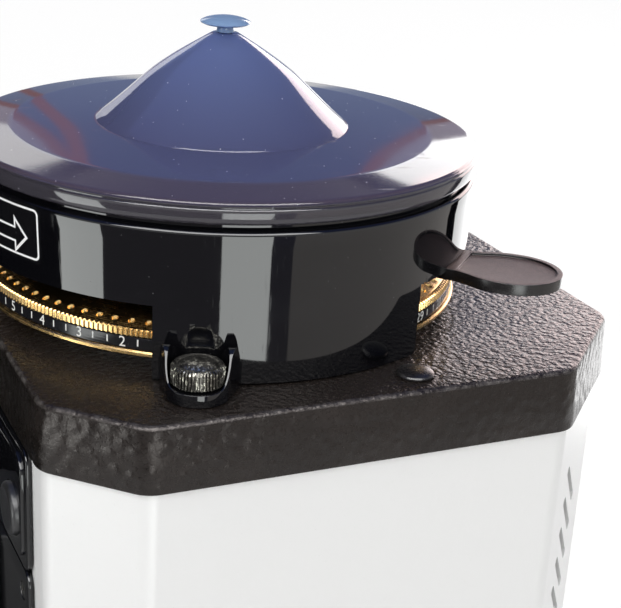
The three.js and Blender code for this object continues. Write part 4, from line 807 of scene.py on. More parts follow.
def eight_sides(plate, inset, radius):
    """Outline of the plate, drawn in all round by an inset, in millimetres."""
    half, front, rear = mm(plate.half_width) - inset, mm(plate.front) - inset, mm(plate.rear) - inset
    share = inset * (2 - math.sqrt(2))
    near, far = mm(plate.front_corner) - share, mm(plate.rear_corner) - share
    corners = [(half - near, -front), (half, near - front), (half, rear - far), (half - far, rear),
               (far - half, rear), (-half, rear - far), (-half, near - front), (near - half, -front)]
    return rounded(corners, radius, 8)


def clamp_angles(collar):
    return [math.degrees(collar.clamp_angle) + i * THIRD for i in range(3)]


class GRINDER_OT_top_plate(bpy.types.Operator):
    """Model the eight-sided cast plate and the two domed screws in it"""

    bl_idname = "grinder.top_plate"
    bl_label = "Top plate"

    def execute(self, context):
        plate, collar = context.scene.grinder_plate, context.scene.grinder_collar
        paint = wrinkled_black(tuple(plate.paint))
        skirt, draft = mm(plate.skirt), mm(plate.draft)
        piece = raised("top_plate_casting", eight_sides(plate, 0, mm(plate.corner_radius)), -skirt, 0)
        edit(piece)
        pick(piece, "verts", lambda corner: corner.co.z > PLATE_TOP - MM)
        share = 1 - draft / mm(plate.half_width)
        centre = at(0, (mm(plate.rear) - mm(plate.front)) / 2)
        bpy.ops.transform.resize(value=(share, share, 1), center_override=centre)
        leave(piece)
        bevel_picked(piece, lambda edge: middle_of(edge).z > -0.01, mm(plate.edge), 5)
        bevel_picked(piece, lambda edge: middle_of(edge).z < 0.01 - skirt, 0.5, 2)
        hollow = raised("hollow", eight_sides(plate, 4.5, 5), -skirt - 2, -7)
        bore = cylinder("bore", 59.3, -skirt, 2, 120)
        screw_holes = [cylinder("hole", 2.95, -skirt, 2, 24, (*polar(CLAMP_CIRCLE, turn), 0))
                       for turn in clamp_angles(collar)]
        cut(piece, hollow, bore, *screw_holes)
        finished(piece, paint, "machine", ["top_plate"])
        profile = [(0, -16), (3, -16), (3, 0.3), (5.2, 0.3), (5.25, 0.75), (5.0, 1.15), (4.4, 1.45),
                   (3.4, 1.68), (2.2, 1.82), (1.0, 1.88), (0, 1.9)]
        for i, x in enumerate((78.1, -78.1)):
            screw = turned(f"plate_screw_dome_{i + 1}", profile, 40, (x, 27.3, 0))
            black = satin_plastic("plug_black", (0.008, 0.007, 0.007), 1300, 0.24)
            finished(screw, black, "machine", [f"plate_screw_{i + 1}"])
        return {"FINISHED"}


class GRINDER_OT_casing(bpy.types.Operator):
    """Model the white casing with its louvres and openings"""

    bl_idname = "grinder.casing"
    bl_label = "Casing"

    def execute(self, context):
        plate, shell = context.scene.grinder_plate, context.scene.grinder_shell
        inset, wall = mm(shell.inset), mm(shell.wall)
        low, high = GROUND + 26.3, -mm(plate.skirt) - 0.3
        piece = raised("casing_shell", eight_sides(plate, inset, 7.5), low, high)
        inner = raised("inner", eight_sides(plate, inset + wall, 5), low - 2, high + 2)
        front, rear = mm(plate.front) - inset, mm(plate.rear) - inset
        window = block("window", (-53, -front - 2, high - 191.7), (53, wall + 2 - front, high - 6))
        rocker = block("rocker_hole", (-55.3, rear - wall - 2, GROUND + 73.7), (-34.7, rear + 2, GROUND + 102.3))
        gland = cylinder("gland_hole", 9.3, -wall - 2, 2, 40, (GLAND_X, rear, FITTING_LEVEL), BACKWARDS)
        cut(piece, inner, window, rocker, gland, self.louvre_cutter(plate, shell, high))
        softened(piece, 0.25, 2, 50)
        finished(piece, white_enamel(tuple(shell.paint)), "machine", ["casing"], 35)
        modified(piece, "WEIGHTED_NORMAL", weight=100, keep_sharp=True)  # keeps the flat sheets free of streaks
        return {"FINISHED"}

    @staticmethod
    def louvre_cutter(plate, shell, high):
        """All the slots of both rear corner faces, as one tool."""
        half, rear = mm(plate.half_width) - mm(shell.inset), mm(plate.rear) - mm(shell.inset)
        leg = mm(plate.rear_corner) - mm(shell.inset) * (2 - math.sqrt(2))
        run, drop, width = 15, 16.5, 3
        reach = (math.hypot(run, drop) - width) / 2
        outline = arc((reach, 0), width / 2, -90, 90, 8) + arc((-reach, 0), width / 2, 90, 270, 8)
        slots = []
        for side in (1, -1):
            first = forwards("louvre", outline, -4, 4)
            centre = at(0, 0, 0)
            lean = Matrix.Rotation(side * math.atan2(drop, run), 4, "Y")
            face = Matrix.Rotation(math.radians(side * 135), 4, "Z")
            for i in range(shell.louvres):
                place = at(side * (half - leg / 2), rear - leg / 2, high - 28 - i * mm(shell.louvre_pitch))
                matrix = Matrix.Translation(place) @ face @ lean @ Matrix.Translation(-centre)
                slots.append(copied(first, matrix, "louvre_slot"))
            bpy.data.objects.remove(first)
        return joined("louvre_slots", slots)


class GRINDER_OT_base(bpy.types.Operator):
    """Model the base casting, its four feet and the pull-out tray"""

    bl_idname = "grinder.base"
    bl_label = "Base, feet and tray"

    def execute(self, context):
        plate, shell = context.scene.grinder_plate, context.scene.grinder_shell
        front = mm(plate.front) - mm(shell.inset)
        reach, low, high = -front - mm(shell.apron), GROUND + 8, GROUND + 26
        piece = raised("base_casting", eight_sides(plate, mm(shell.inset), 9), low, high)
        apron = raised("apron", oblong(62, reach, 36 - front, 14, 10), low, high)
        fused(piece, apron)
        hollow = raised("hollow", eight_sides(plate, mm(shell.inset) + 6, 9), low - 2, high - 6)
        channel = block("channel", (-48.5, reach - 2, low + 6), (48.5, -front - 3, high + 2))
        cut(piece, hollow, channel)
        softened(piece, 0.9, 3, 50)
        paint = wrinkled_black(tuple(plate.paint))
        paint.name = "wrinkled_black_base"
        finished(piece, paint, "machine", ["base"], 35)
        self.tray(front, low, reach)
        rubber = moulded_rubber((0.010, 0.010, 0.010))
        profile = [(0, 0), (9.2, 0), (10, 0.5), (10.4, 1.2), (11.6, 3.8), (12, 4.6), (12, 7.1), (11.6, 7.7),
                   (3, 7.7), (3, 12), (0, 12)]
        places = [(62, 74), (-62, 74), (46, reach + 18), (-46, reach + 18)]
        for i, (x, y) in enumerate(places):
            foot = turned(f"rubber_foot_{i + 1}", [(r, h + GROUND) for r, h in profile], 48, (x, y, 0))
            finished(foot, rubber, "machine", [f"foot_{i + 1}"])
        return {"FINISHED"}

    @staticmethod
    def tray(front, low, reach):
        floor, near, far = low + 6.3, reach - 3, -front - 3.5
        body = raised("tray_drawer", oblong(48, near, far, 2, 4), floor, floor + 13)
        hollow = raised("tray_hollow", oblong(46.2, near + 3, far - 1.8, 3, 5), floor + 1.8, floor + 15)
        cut(body, hollow)
        lip = raised("tray_lip", oblong(24, near - 6, near + 1.5, [5, 5, 0, 0], 8), floor + 10, floor + 13)
        fused(body, lip)
        softened(body, 0.4, 2, 50)
        black = satin_plastic("tray_black", (0.018, 0.018, 0.018), 700, 0.5)
        finished(body, black, "tray", ["grounds_tray"], 35)


# Collar, clamps and gate


class GRINDER_OT_collar(bpy.types.Operator):
    """Model the gloss collar: windows, bean bowl, throat, gate guide, clamping lugs and niches"""

    bl_idname = "grinder.collar"
    bl_label = "Collar"

    def execute(self, context):
        collar = context.scene.grinder_collar
        top, edge = mm(collar.height), mm(collar.edge)
        base_r, top_r = mm(collar.base_radius), mm(collar.top_radius)
        shoulder = [(top_r - edge + x, top - edge + z) for x, z in arc((0, 0), edge, 0, 90, 6)]
        wall = [(71.9, 0.3), (base_r - 0.3, 0.3), (base_r, 0.6)]
        wall += [(base_r + (top_r - base_r) * i / 12, 0.6 + (top - edge - 0.6) * i / 12) for i in range(1, 12)]
        neck = [(72.6, top), (72.2, top + 0.4), (72.2, top + 3.6), (71.8, top + 4), (62.2, top + 4),
                (61.5, top + 3.4), (61.5, top + 0.6), (60.6, top - 0.7)]
        bowl = [(60.6 + (26.4 - 60.6) * i / 10, top - 0.7 + (28.5 - top + 0.7) * i / 10) for i in range(1, 11)]
        throat = [(25.6, 28), (22.6, 28), (22.6, 26), (20, 26), (20, 16.6), (26, 16.6), (26, 23), (58.5, 36.2),
                  (71.9, 36.2)]
        piece = turned("collar_moulding", wall + shoulder + neck + bowl + throat, 360)
        fused(piece, *[self.lug(turn) for turn in clamp_angles(collar)])
        cutters = [self.window(collar, i) for i in range(3)]
        cutters += [self.niche(turn) for turn in clamp_angles(collar)]
        cutters += [self.gate_notch(math.degrees(collar.gate_angle))]
        cut(piece, *cutters)
        softened(piece, 0.35, 3, 55)
        gloss = polished_black("polished_black", tuple(collar.gloss), 0.06)
        finished(piece, gloss, "machine", ["collar"])
        return {"FINISHED"}

    @staticmethod
    def window(collar, i):
        """A sector that leaves a window in the collar's foot."""
        first = math.degrees(collar.window_start) + i * THIRD
        last = first + math.degrees(collar.window_sweep)
        return raised("window", sector(69, 78, first, last, 48), -2, mm(collar.window_height))

    @staticmethod
    def lug(turn):
        """Round-nosed foot whose two ears fall away in a curve from the wall."""
        flank = [(66, 10.8), (73.4, 10.8), (75.6, 10.3), (78.0, 9.4)]
        plan = [(x, -y) for x, y in flank] + arc((80.5, 0), 8.5, -88, 88, 22) + flank[::-1]
        blank = raised("lug", plan, 0.3, 13.3)
        side = [(64, 7.0), (64, 18), (92, 18), (92, 3.6), (87.2, 3.7), (85.8, 4.1), (84.6, 5.0), (83.5, 6.5),
                (82.4, 8.3), (81.2, 10.1), (80.0, 11.7), (79.1, 12.5), (78.2, 12.8), (77.3, 12.5), (76.5, 11.6),
                (75.8, 10.2), (75.2, 8.6), (74.6, 7.0)]
        slope = slab("slope", [at(x, -14, z) for x, z in side], (0, 28 * MM, 0))
        cut(blank, slope, cylinder("inside", 72.1, -1, 20, 180))
        softened(blank, 0.9, 4, 35)
        return placed(blank, turn_about_axis(turn))

    @staticmethod
    def niche(turn):
        """Arched pocket round a thumb screw, and the hole for its shank."""
        dome = [(7.9 * math.cos(math.radians(t)), 12.6 + 7.9 * math.sin(math.radians(t))) for t in range(0, 90, 9)]
        profile = [(0, 3.6), (7.4, 3.6), (7.9, 4.1)] + dome + [(0, 20.5)]
        pocket = turned("niche", profile, 64, (CLAMP_CIRCLE, 0, 0))
        keep = cylinder("keep", 72.5, -2, 30, 360)
        hole = cylinder("hole", 2.95, -2, 5.6, 32, (CLAMP_CIRCLE, 0, 0))
        cut(pocket, keep)
        return placed(fused(pocket, hole), turn_about_axis(turn))

    @staticmethod
    def gate_notch(turn):
        """Slot for the blade, and the mouth where the paddle leaves the wall."""
        slot = block("slot", (-28, -21.7, 18.8), (71.4, 21.7, 21.3))
        mouth = slab("mouth", [at(70, y, z) for y, z in oblong(9.9, 18.2, 22.5, 1.8, 5)], (8 * MM, 0, 0))
        return placed(fused(slot, mouth), turn_about_axis(turn))


class GRINDER_OT_thumb_screws(bpy.types.Operator):
    """Model the knurled thumb screws with their dished tops"""

    bl_idname = "grinder.thumb_screws"
    bl_label = "Thumb screws"

    def execute(self, context):
        steel = blackened_steel((0.078, 0.074, 0.066))
        crown = [(5.9, 9.45), (5.5, 9.25), (5.1, 9.2), (4.4, 9.6), (3.4, 10.1), (2.2, 10.4), (1.0, 10.5), (0, 10.5)]
        profile = [(0, -12), (2.5, -12), (2.6, 3.9), (6.1, 3.9), (6.6, 4.15), (7.05, 4.6), (7.05, 8.5),
                   (6.7, 9.1), (6.3, 9.4)] + crown
        for i, turn in enumerate(clamp_angles(context.scene.grinder_collar)):
            place = (*polar(CLAMP_CIRCLE, turn), 0)
            screw = turned(f"thumb_screw_knurled_{i + 1}", profile, 240, place)
            grooved(screw, place, 48, 6.65, (0.3, 0.7), 0.915)
            finished(screw, steel, f"clamp_{i + 1}", [f"thumb_screw_{i + 1}"], 24)
        return {"FINISHED"}


class GRINDER_OT_gate(bpy.types.Operator):
    """Model the gate's finger paddle: a flat leaf with a raised rim"""

    bl_idname = "grinder.gate"
    bl_label = "Gate paddle"

    def execute(self, context):
        collar = context.scene.grinder_collar
        around = turn_about_axis(math.degrees(collar.gate_angle))
        leaf = raised("gate_paddle_leaf", self.outline(0), 18.7, 22)
        dish = raised("dish", self.outline(1.6), 21.35, 24)
        near = block("near", (60, -30, 20), (76.4, 30, 26))
        cut(dish, near)
        pocket = block("pocket", (69, -8.5, 19.0), (88.3, 8.5, 21.1))
        cut(leaf, dish, pocket)
        softened(leaf, 0.5, 4, 40)
        placed(leaf, around)
        finished(leaf, dusty_leaf((0.062, 0.040, 0.034)), "gate", ["gate_paddle"], 40)
        return {"FINISHED"}

    @staticmethod
    def outline(inset):
        """Neck and leaf seen from above, drawn in by an inset."""
        root, tip, widest = 71 + inset, 104.6 - inset, 90.0
        neck, half = 9.4 - inset, 13.3 - inset
        upper = [(root, neck), (75.3, neck), (77.0, neck + 0.3), (80.0, neck + 1.4), (83.5, half - 0.9),
                 (86.8, half - 0.15)]
        upper += [(widest + (tip - widest) * math.sin(math.radians(t)), half * math.cos(math.radians(t)))
                  for t in range(0, 90, 6)]
        return [(x, -y) for x, y in upper] + [(tip, 0)] + upper[::-1]


class GRINDER_OT_finger_guard(bpy.types.Operator):
    """Model the guard that keeps fingers out of the throat"""

    bl_idname = "grinder.finger_guard"
    bl_label = "Finger guard"

    def execute(self, context):
        ring = turned("finger_guard_ring", [(20.2, 26.3), (22.2, 26.3), (22.2, 28.3), (20.2, 28.3)], 72)
        bars = [block("bar", (-x, -y, 26.3), (x, y, 28.3)) for x, y in ((21.2, 0.9), (0.9, 21.2))]
        fused(ring, *bars)
        softened(ring, 0.3, 2, 40)
        finished(ring, ground_steel("guard_steel", (0.58, 0.58, 0.60)), "machine", ["finger_guard"])
        return {"FINISHED"}


# Adjusting ring and its scale


class GRINDER_OT_adjusting_ring(bpy.types.Operator):
    """Model the brass adjusting ring, its knurled rim, click dimples and numbered band"""

    bl_idname = "grinder.adjusting_ring"
    bl_label = "Adjusting ring"

    def execute(self, context):
        ring = context.scene.grinder_ring
        brass = turned_brass(tuple(ring.brass))
        profile = [(48.4, -10), (53.5, -10), (53.5, 5.2), (71.0, 5.2), (71.4, 5.6), (71.4, 6.3), (71.0, 6.7),
                   (69.2, 6.7), (69.2, 10.1), (69.0, 12.6), (68.8, 12.75), (60.5, 15.5), (52.6, 15.5), (52, 14.9),
                   (52, 10.2), (48.4, 6.7)]
        body = turned("ring_body", profile, 240)
        cut(body, self.dimples(ring))
        finished(body, brass, "ring", ["adjusting_ring"], 25)
        rim = turned("ring_knurled_rim", [(68.9, 10.15), (70.3, 10.15), (70.6, 10.4), (70.6, 12.2), (70.3, 12.5),
                                          (69.6, 12.62), (68.9, 12.6)], ring.teeth * 4)
        grooved(rim, (0, 0, 11.3), ring.teeth, 70.2, (0.4, 0.9), 0.9935)
        finished(rim, brass, "ring", (), 20)
        band = turned("scale_band", [(69.3, 6.85), (70.4, 6.85), (70.5, 6.95), (70.5, 9.95), (70.4, 10.05),
                                     (69.3, 10.05)], 360)
        finished(band, anodised_black(tuple(ring.band)), "ring", ["number_band"])
        marks = self.scale(ring)
        finished(marks, printed_white(tuple(ring.print_white)), "ring")
        return {"FINISHED"}

    @staticmethod
    def dimples(ring):
        """A cone for every click position, as one tool."""
        slope = (15.5 - 12.75) / (68.8 - 60.5)
        level = 12.75 + (68.8 - 67.2) * slope
        profile = [(0, level - 1.3), (0.6, level - 1.2), (1.15, level + 0.75), (0, level + 0.75)]
        first = turned("dimple", profile, 12, (67.2, 0, 0))
        placed(first, turn_about_axis(-72.6))
        copies = [copied(first, turn_about_axis(i * 360 / ring.dimples), "dimple") for i in range(1, ring.dimples)]
        return joined("dimples", [first, *copies])

    @staticmethod
    def scale(ring):
        """Numbers with two strokes between them, laid on the band's face and made one mesh."""
        per_number = 3
        step = 360 / (ring.numbers * per_number)
        pieces = []
        for i in range(ring.numbers * per_number):
            turn = -62.7 + (i - 12) * step
            x, y = polar(70.53, turn)
            stand = Matrix.Translation(at(x, y, 8.45)) @ Matrix.Rotation(math.radians(turn + 90), 4, "Z")
            stand = stand @ Matrix.Rotation(math.radians(90), 4, "X")
            clear_selection()
            if i % per_number:
                tall = 1.9
                bpy.ops.mesh.primitive_cube_add(size=1, scale=(0.4 * MM, tall * MM, 0.03 * MM))
                bpy.ops.object.transform_apply(location=True, rotation=True, scale=True)
                stand = stand @ Matrix.Translation((0, (1.2 - tall / 2) * MM, 0))
            else:
                bpy.ops.object.text_add()
                text = bpy.context.object.data
                text.body = str((8 - i // per_number) % ring.numbers)
                text.size = ring.figure * 1.42
                text.align_x = text.align_y = "CENTER"
                text.extrude = 0.015 * MM
                text.resolution_u = 4
                bpy.ops.object.convert(target="MESH")
            mark = bpy.context.object
            mark.name = "scale_mark"
            pieces.append(placed(mark, stand))
        return joined("scale_print", pieces)


# Lid


class GRINDER_OT_lid(bpy.types.Operator):
    """Model the clear peaked lid and its knob"""

    bl_idname = "grinder.lid"
    bl_label = "Lid and knob"

    def execute(self, context):
        lid = context.scene.grinder_lid
        outside, inside = self.section(lid)
        piece = turned("lid_clear", outside + inside[::-1], 240)
        # The lid's colour carries painted sky reflection, lighter and bluer towards the peak.
        finished(piece, smoked_plastic(tuple(lid.brim), tuple(lid.peak)), "lid_body", ["lid"], 40)
        seat = 78.0
        profile = [(0, -6), (1.6, -6), (1.6, 0), (2.6, 0), (2.4, 0.9), (2.5, 1.4), (3.2, 1.75), (6.6, 2.2), (7.25, 2.6),
                   (7.3, 2.8), (7.0, 3.15), (5.6, 3.75), (3.8, 4.2), (1.9, 4.45), (0, 4.5)]
        knob = turned("lid_knob_turned", [(radius, seat + level) for radius, level in profile], 96)
        # The knob's colour is partly painted reflection.
        gloss = polished_black("knob_gloss", tuple(lid.knob), 0.1)
        finished(knob, gloss, "lid_body", ["lid_knob"], 40)
        return {"FINISHED"}

    @staticmethod
    def section(lid):
        """Outer and inner lines of the lid, from the foot of the skirt to the bore."""
        rim, base, top = mm(lid.radius), mm(lid.cone_base), mm(lid.cone_top)
        foot, height, edge = 52.4, mm(lid.cone_height), 49.8
        beads = [(2.1, 43.9), (0.9, 43.9), (0.3, 44.3), (0, 45.0), (0, 47.6), (0.1, 47.9), (0.4, 48.15), (0.4, 48.4),
                 (0.15, 48.65), (0.2, 48.9), (0.5, 49.1), (0.8, 49.15), (0.9, 49.4), (1.3, 49.7), (1.9, edge),
                 (2.3, edge + 0.05)]
        outside = [(rim - back, level) for back, level in beads]
        outside += [(61.6, 51.1), (61.2, 51.15), (60.6, 51.2), (60.0, 51.23), (48, 51.85), (base + 1.0, foot - 0.05),
                    (base + 0.5, foot - 0.02), (base + 0.25, foot + 0.02), (base + 0.1, foot + 0.3)]
        flank = []
        for i in range(1, 17):
            share = i / 16
            radius = base + (top - base) * share + 2.3 * math.sin(math.pi * share ** 1.3)
            radius -= 0.5 * math.sin(math.pi * min(1, share * 1.8))
            flank.append((radius, foot + 0.3 + (height - 0.3) * share))
        outside += flank + [(1.9, foot + height)]
        inside = [(rim - 2.1, 46.5), (rim - 2.6, 47.6), (60.4, 49.4), (48, 50.05), (base - 1.5, foot - 2)]
        inside += [(radius - 2.4, level - 1.2) for radius, level in flank if radius > 4.6]
        inside += [(1.9, foot + height - 2.4)]
        return outside, inside


# Arrow plate


class GRINDER_OT_arrow_plate(bpy.types.Operator):
    """Model the small black plate on the collar: a white line frame and a plain arrow"""

    bl_idname = "grinder.arrow_plate"
    bl_label = "Arrow plate"

    def execute(self, context):
        half, low, high = 29.0, 26.0, 41.8
        plate = self.wrapped("arrow_plate", oblong(half, low, high, 2.0, 6), None, 0.10)
        film = polished_black("plate_film", (0.006, 0.006, 0.007), 0.1)
        finished(plate, film, "machine")
        frame_line = self.wrapped("arrow_frame", oblong(half - 0.9, low + 0.9, high - 0.9, 1.6, 6),
                                  oblong(half - 1.5, low + 1.5, high - 1.5, 1.1, 6), 0.16)
        white = printed_white((0.85, 0.85, 0.84))
        white.name = "frame_print"
        finished(frame_line, white, "machine")
        middle = (low + high) / 2 - 1.5
        line = self.wrapped("arrow_line", self.arrow(24.0, 18.5, 5.2, 2.2, middle),
                            self.arrow(22.9, 19.1, 3.6, 1.6, middle), 0.16)
        finished(line, white, "machine")
        return {"FINISHED"}

    @staticmethod
    def arrow(tip, neck, barb, shaft, middle):
        """Outline of an arrow with a head at each end."""
        points = [(tip, 0), (neck, barb), (neck, shaft), (-neck, shaft), (-neck, barb), (-tip, 0), (-neck, -barb),
                  (-neck, -shaft), (neck, -shaft), (neck, -barb)]
        return [(x, z + middle) for x, z in points]

    @staticmethod
    def wrapped(name, outer, inner, proud):
        """A flat shape in front of the collar, cut into strips and wrapped onto its wall."""
        piece = slab(name, [at(x, -90, z) for x, z in outer], (0, 3 * MM, 0))
        if inner:
            hole = slab("hole", [at(x, -91, z) for x, z in inner], (0, 5 * MM, 0))
            cut(piece, hole)
        edit(piece)
        pick(piece, "faces", lambda face: face.normal.y > -0.5)
        bpy.ops.mesh.delete(type="FACE")
        for i in range(-28, 29):
            bpy.ops.mesh.select_all(action="SELECT")
            bpy.ops.mesh.bisect(plane_co=at(i, 0, 0), plane_no=(1, 0, 0))
        bpy.ops.mesh.select_all(action="SELECT")
        bpy.ops.mesh.quads_convert_to_tris()
        leave(piece)
        for corner in piece.data.vertices:
            x, height = corner.co.x / MM, (corner.co.z - PLATE_TOP) / MM
            wall = 73.8 + height / 42.2 + proud
            corner.co = at(*polar(wall, LABEL_ANGLE + math.degrees(x / wall)), height)
        return piece


# Front


class GRINDER_OT_front_panels(bpy.types.Operator):
    """Model the gloss control panel, its display window and buttons, and the lower panel"""

    bl_idname = "grinder.front_panels"
    bl_label = "Front panels"

    def execute(self, context):
        front = context.scene.grinder_front
        gloss = polished_black("panel_gloss", tuple(front.gloss), 0.08)
        half, seam, radius, x = mm(front.half_width), mm(front.seam), mm(front.button_radius), mm(front.button_x)
        panel = self.sheet("control_panel_face", half, -seam + 0.15, -19.4, 4, CONTROLS_BACK, CONTROLS_FACE)
        softened(panel, 0.5, 4, 50)
        pad = self.sheet("pad", half - 2.8, -seam + 2.6, -22.0, 6, -73.1, -74.5)
        softened(pad, 0.5, 4, 50)
        fused(panel, pad)
        well = self.sheet("well", 25, -50.5, -31.5, 1.2, -73.2, -78)
        holes = [cylinder("hole", radius + 0.3, -3, 6, 64, (side * x, CONTROLS_BACK, BUTTON_LEVEL), FORWARDS)
                 for side in (1, -1)]
        cut(panel, well, *holes)
        finished(panel, gloss, "machine", ["control_panel"], 35)
        window = self.sheet("display_pane", 24.7, -50.2, -31.8, 1.0, -73.25, -74.2)
        softened(window, 0.2, 2, 50)
        finished(window, display_window((0.010, 0.013, 0.016)), "machine", ["display"], 35)
        rubber = satin_plastic("button_black", (0.016, 0.016, 0.017), 900, 0.34)
        face = 4.4
        profile = [(0, face - 6.4), (radius, face - 6.4), (radius, face - 1.2), (radius - 0.15, face - 0.75),
                   (radius - 0.6, face - 0.3), (radius - 1.2, face - 0.05), (radius - 1.7, face),
                   (radius - 2.4, face - 0.12), (radius - 4.5, face - 0.35), (0, face - 0.45)]
        for i, side in enumerate((-1, 1)):
            place = (side * x, CONTROLS_BACK, BUTTON_LEVEL)
            button = turned(f"dose_button_round_{i + 1}", profile, 72, place, FORWARDS)
            finished(button, rubber, f"select_{i + 1}", [f"dose_select_button_{i + 1}"], 35)
        self.lower_panel(half, seam, gloss)
        return {"FINISHED"}

    @staticmethod
    def sheet(name, half, low, high, radius, back, face):
        return forwards(name, oblong(half, low, high, radius, 8), back, face)

    def lower_panel(self, half, seam, gloss):
        """The panel behind spout and fork, with its four sunk screws."""
        lower = self.sheet("lower_panel_face", half, -232, -seam - 0.15, 4, CONTROLS_BACK, CONTROLS_FACE)
        softened(lower, 0.5, 4, 50)
        dose_hole = block("dose_hole", (-11.3, -76, -171.3), (11.3, -70, -156.7))
        mouth = block("mouth", (-17.7, -76, -90.7), (17.7, -70, -63.8))
        places = [(x, CONTROLS_BACK, z) for x in (-49, 49) for z in (-64, -224)]
        seat = [(0, 0.8), (2.6, 0.8), (2.9, 2.4), (0, 2.4)]
        seats = [turned("screw_seat", seat, 32, place, FORWARDS) for place in places]
        cut(lower, dose_hole, mouth, *seats)
        finished(lower, gloss, "machine", ["lower_panel"], 35)
        dome = [(0, 0.85), (2.4, 0.85), (2.4, 1.2), (1.8, 1.55), (0, 1.65)]
        heads = []
        for place in places:
            head = turned("panel_screw", dome, 32, place, FORWARDS)
            heads.append(cut(head, cylinder("socket", 1.0, 1.1, 2.4, 6, place, FORWARDS)))
        steel = blackened_steel((0.10, 0.10, 0.10))
        finished(joined("panel_screws", heads), steel, "machine")


class GRINDER_OT_spout_and_fork(bpy.types.Operator):
    """Model the spout, the fork for the filter holder and the dose button"""

    bl_idname = "grinder.spout_and_fork"
    bl_label = "Spout and fork"

    def execute(self, context):
        black = satin_plastic("spout_black", (0.016, 0.016, 0.017), 700, 0.38)
        outer = self.body("spout_moulding", 0, 21)
        softened(outer, 1.6, 5, 28)
        inner = self.body("spout_inner", 2.5, 18.5)
        cut(outer, inner)
        finished(outer, black, "machine", ["spout"], 35)
        self.fork(context.scene.grinder_front)
        button = block("dose_push_plate", (-11, -87.4, -171), (11, -69.4, -157))
        bevel_picked(button, lambda edge: middle_of(edge).y < -80, 1.4, 4)
        satin = satin_plastic("dose_black", (0.02, 0.02, 0.021), 900, 0.4)
        finished(button, satin, "dose", ["dose_button"], 40)
        return {"FINISHED"}

    @staticmethod
    def body(name, inset, half):
        """Side outline of the head and chute, tapered towards the outlet."""
        over, bend, share = (2, 10, 0.58) if inset else (0, 12, 0.62)
        back, top, foot, head = SPOUT_BACK, -62 - inset, -124 - over, -93 + inset
        front = back - 35 + inset
        curve = arc((front + bend, top - bend), bend, 180, 90, 8)
        side = [(back + over, top), *curve[::-1], (front + inset, head), (-102.7 + inset, foot), (-80.7 - inset, foot),
                (back - 6, head), (back + over, head)]
        piece = sideways(name, side, -half, half)
        edit(piece)
        pick(piece, "verts", lambda corner: corner.co.z < PLATE_TOP - 120 * MM)
        bpy.ops.transform.resize(value=(share, 1, 1), center_override=at(0, -91.7, foot))
        return leave(piece)

    @staticmethod
    def fork(front):
        """Back plate and two prongs whose ends turn up."""
        back, tip = SPOUT_BACK, -74.4 - mm(front.fork_reach)
        plate = forwards("filter_fork_steel", oblong(41, -193, -147, 4, 6), back, back - 4.7)
        hole = forwards("fork_hole", oblong(11.3, -171.3, -156.7, 1, 3), back + 2, back - 8)
        cut(plate, hole)
        for side in (1, -1):
            line = [(back - 1, -181), (tip + 1.4, -181), (tip, -179.6), (tip, -171), (tip + 1.6, -171),
                    (tip + 5, -172.2), (tip + 5, -176), (back - 1, -176)]
            prong = sideways("prong", line, min(side * 33, side * 41), max(side * 33, side * 41))
            fused(plate, prong)
        softened(plate, 0.7, 3, 40)
        steel = ground_steel("fork_steel", (0.42, 0.42, 0.43), 0.3, (12.0, 1.0, 1.0))
        finished(plate, steel, "machine", ["filter_fork"], 35)


# Rear


class GRINDER_OT_rear_fittings(bpy.types.Operator):
    """Model the power rocker in its frame and the cable gland"""

    bl_idname = "grinder.rear_fittings"
    bl_label = "Rear fittings"

    def execute(self, context):
        plate, shell = context.scene.grinder_plate, context.scene.grinder_shell
        rear = mm(plate.rear) - mm(shell.inset)
        black = satin_plastic("fitting_black", (0.017, 0.017, 0.018), 800, 0.4)
        self.rocker(rear, FITTING_LEVEL, black)
        self.gland(rear, FITTING_LEVEL, black)
        return {"FINISHED"}

    @staticmethod
    def rocker(rear, height, black):
        """The bezel with its box, and the dished cap that tilts in it."""
        outline = oblong(12, height - 16, height + 16, 2.5, 6, SWITCH_X)
        flange = forwards("switch_bezel", outline, rear + 0.3, rear + 2.3)
        softened(flange, 0.7, 3, 50)
        box = block("switch_box", (-55, rear - 16, height - 14), (-35, rear + 0.6, height + 14))
        hollow = block("switch_hollow", (-52.5, rear - 13, height - 11.5), (-37.5, rear + 4, height + 11.5))
        fused(flange, box)
        cut(flange, hollow)
        finished(flange, black, "machine", ["switch_frame"], 35)
        dish = [(3 + 3 * (abs(t) / 10.5) ** 2, t) for t in range(-9, 10)]
        cap = sideways("power_rocker_cap", [(0, -10.5), (6, -10.5)] + dish + [(6, 10.5), (0, 10.5)], -6.7, 6.7)
        softened(cap, 0.6, 3, 40)
        tilt = Matrix.Translation(at(SWITCH_X, rear - 2, height)) @ Matrix.Rotation(math.radians(8), 4, "X")
        placed(cap, tilt @ Matrix.Translation(-at(0, 0, 0)))
        gloss = polished_black("rocker_gloss", (0.006, 0.006, 0.006), 0.1)
        finished(cap, gloss, "rocker", ["power_rocker"], 35)

    @staticmethod
    def gland(rear, height, black):
        """The ribbed cone of the cable gland on its six-sided foot."""
        profile = [(4, -10.7), (9, -10.7), (9, 0.3), (12.3, 0.3), (12.5, 0.6), (12.5, 4.9), (12.0, 5.3), (9.4, 5.3),
                   (9.2, 6.3), (8.4, 9.4), (8.7, 10.4), (7.9, 12.8), (8.1, 13.8), (7.3, 16.4), (7.4, 17.4),
                   (6.8, 21.2), (6.4, 22), (4, 22)]
        place = at(GLAND_X, rear, height)
        gland = turned("cable_gland_moulding", profile, 72, (GLAND_X, rear, height), BACKWARDS)
        flat = block("flat", (33, rear, height + 11.4), (57, rear + 5.4, height + 16))
        flats = [copied(flat, Matrix.Translation(place) @ Matrix.Rotation(math.radians(60 * i), 4, "Y")
                        @ Matrix.Translation(-place), "gland_flat") for i in range(6)]
        bpy.data.objects.remove(flat)
        cut(gland, *flats)
        finished(gland, black, "machine", ["cable_gland"], 35)


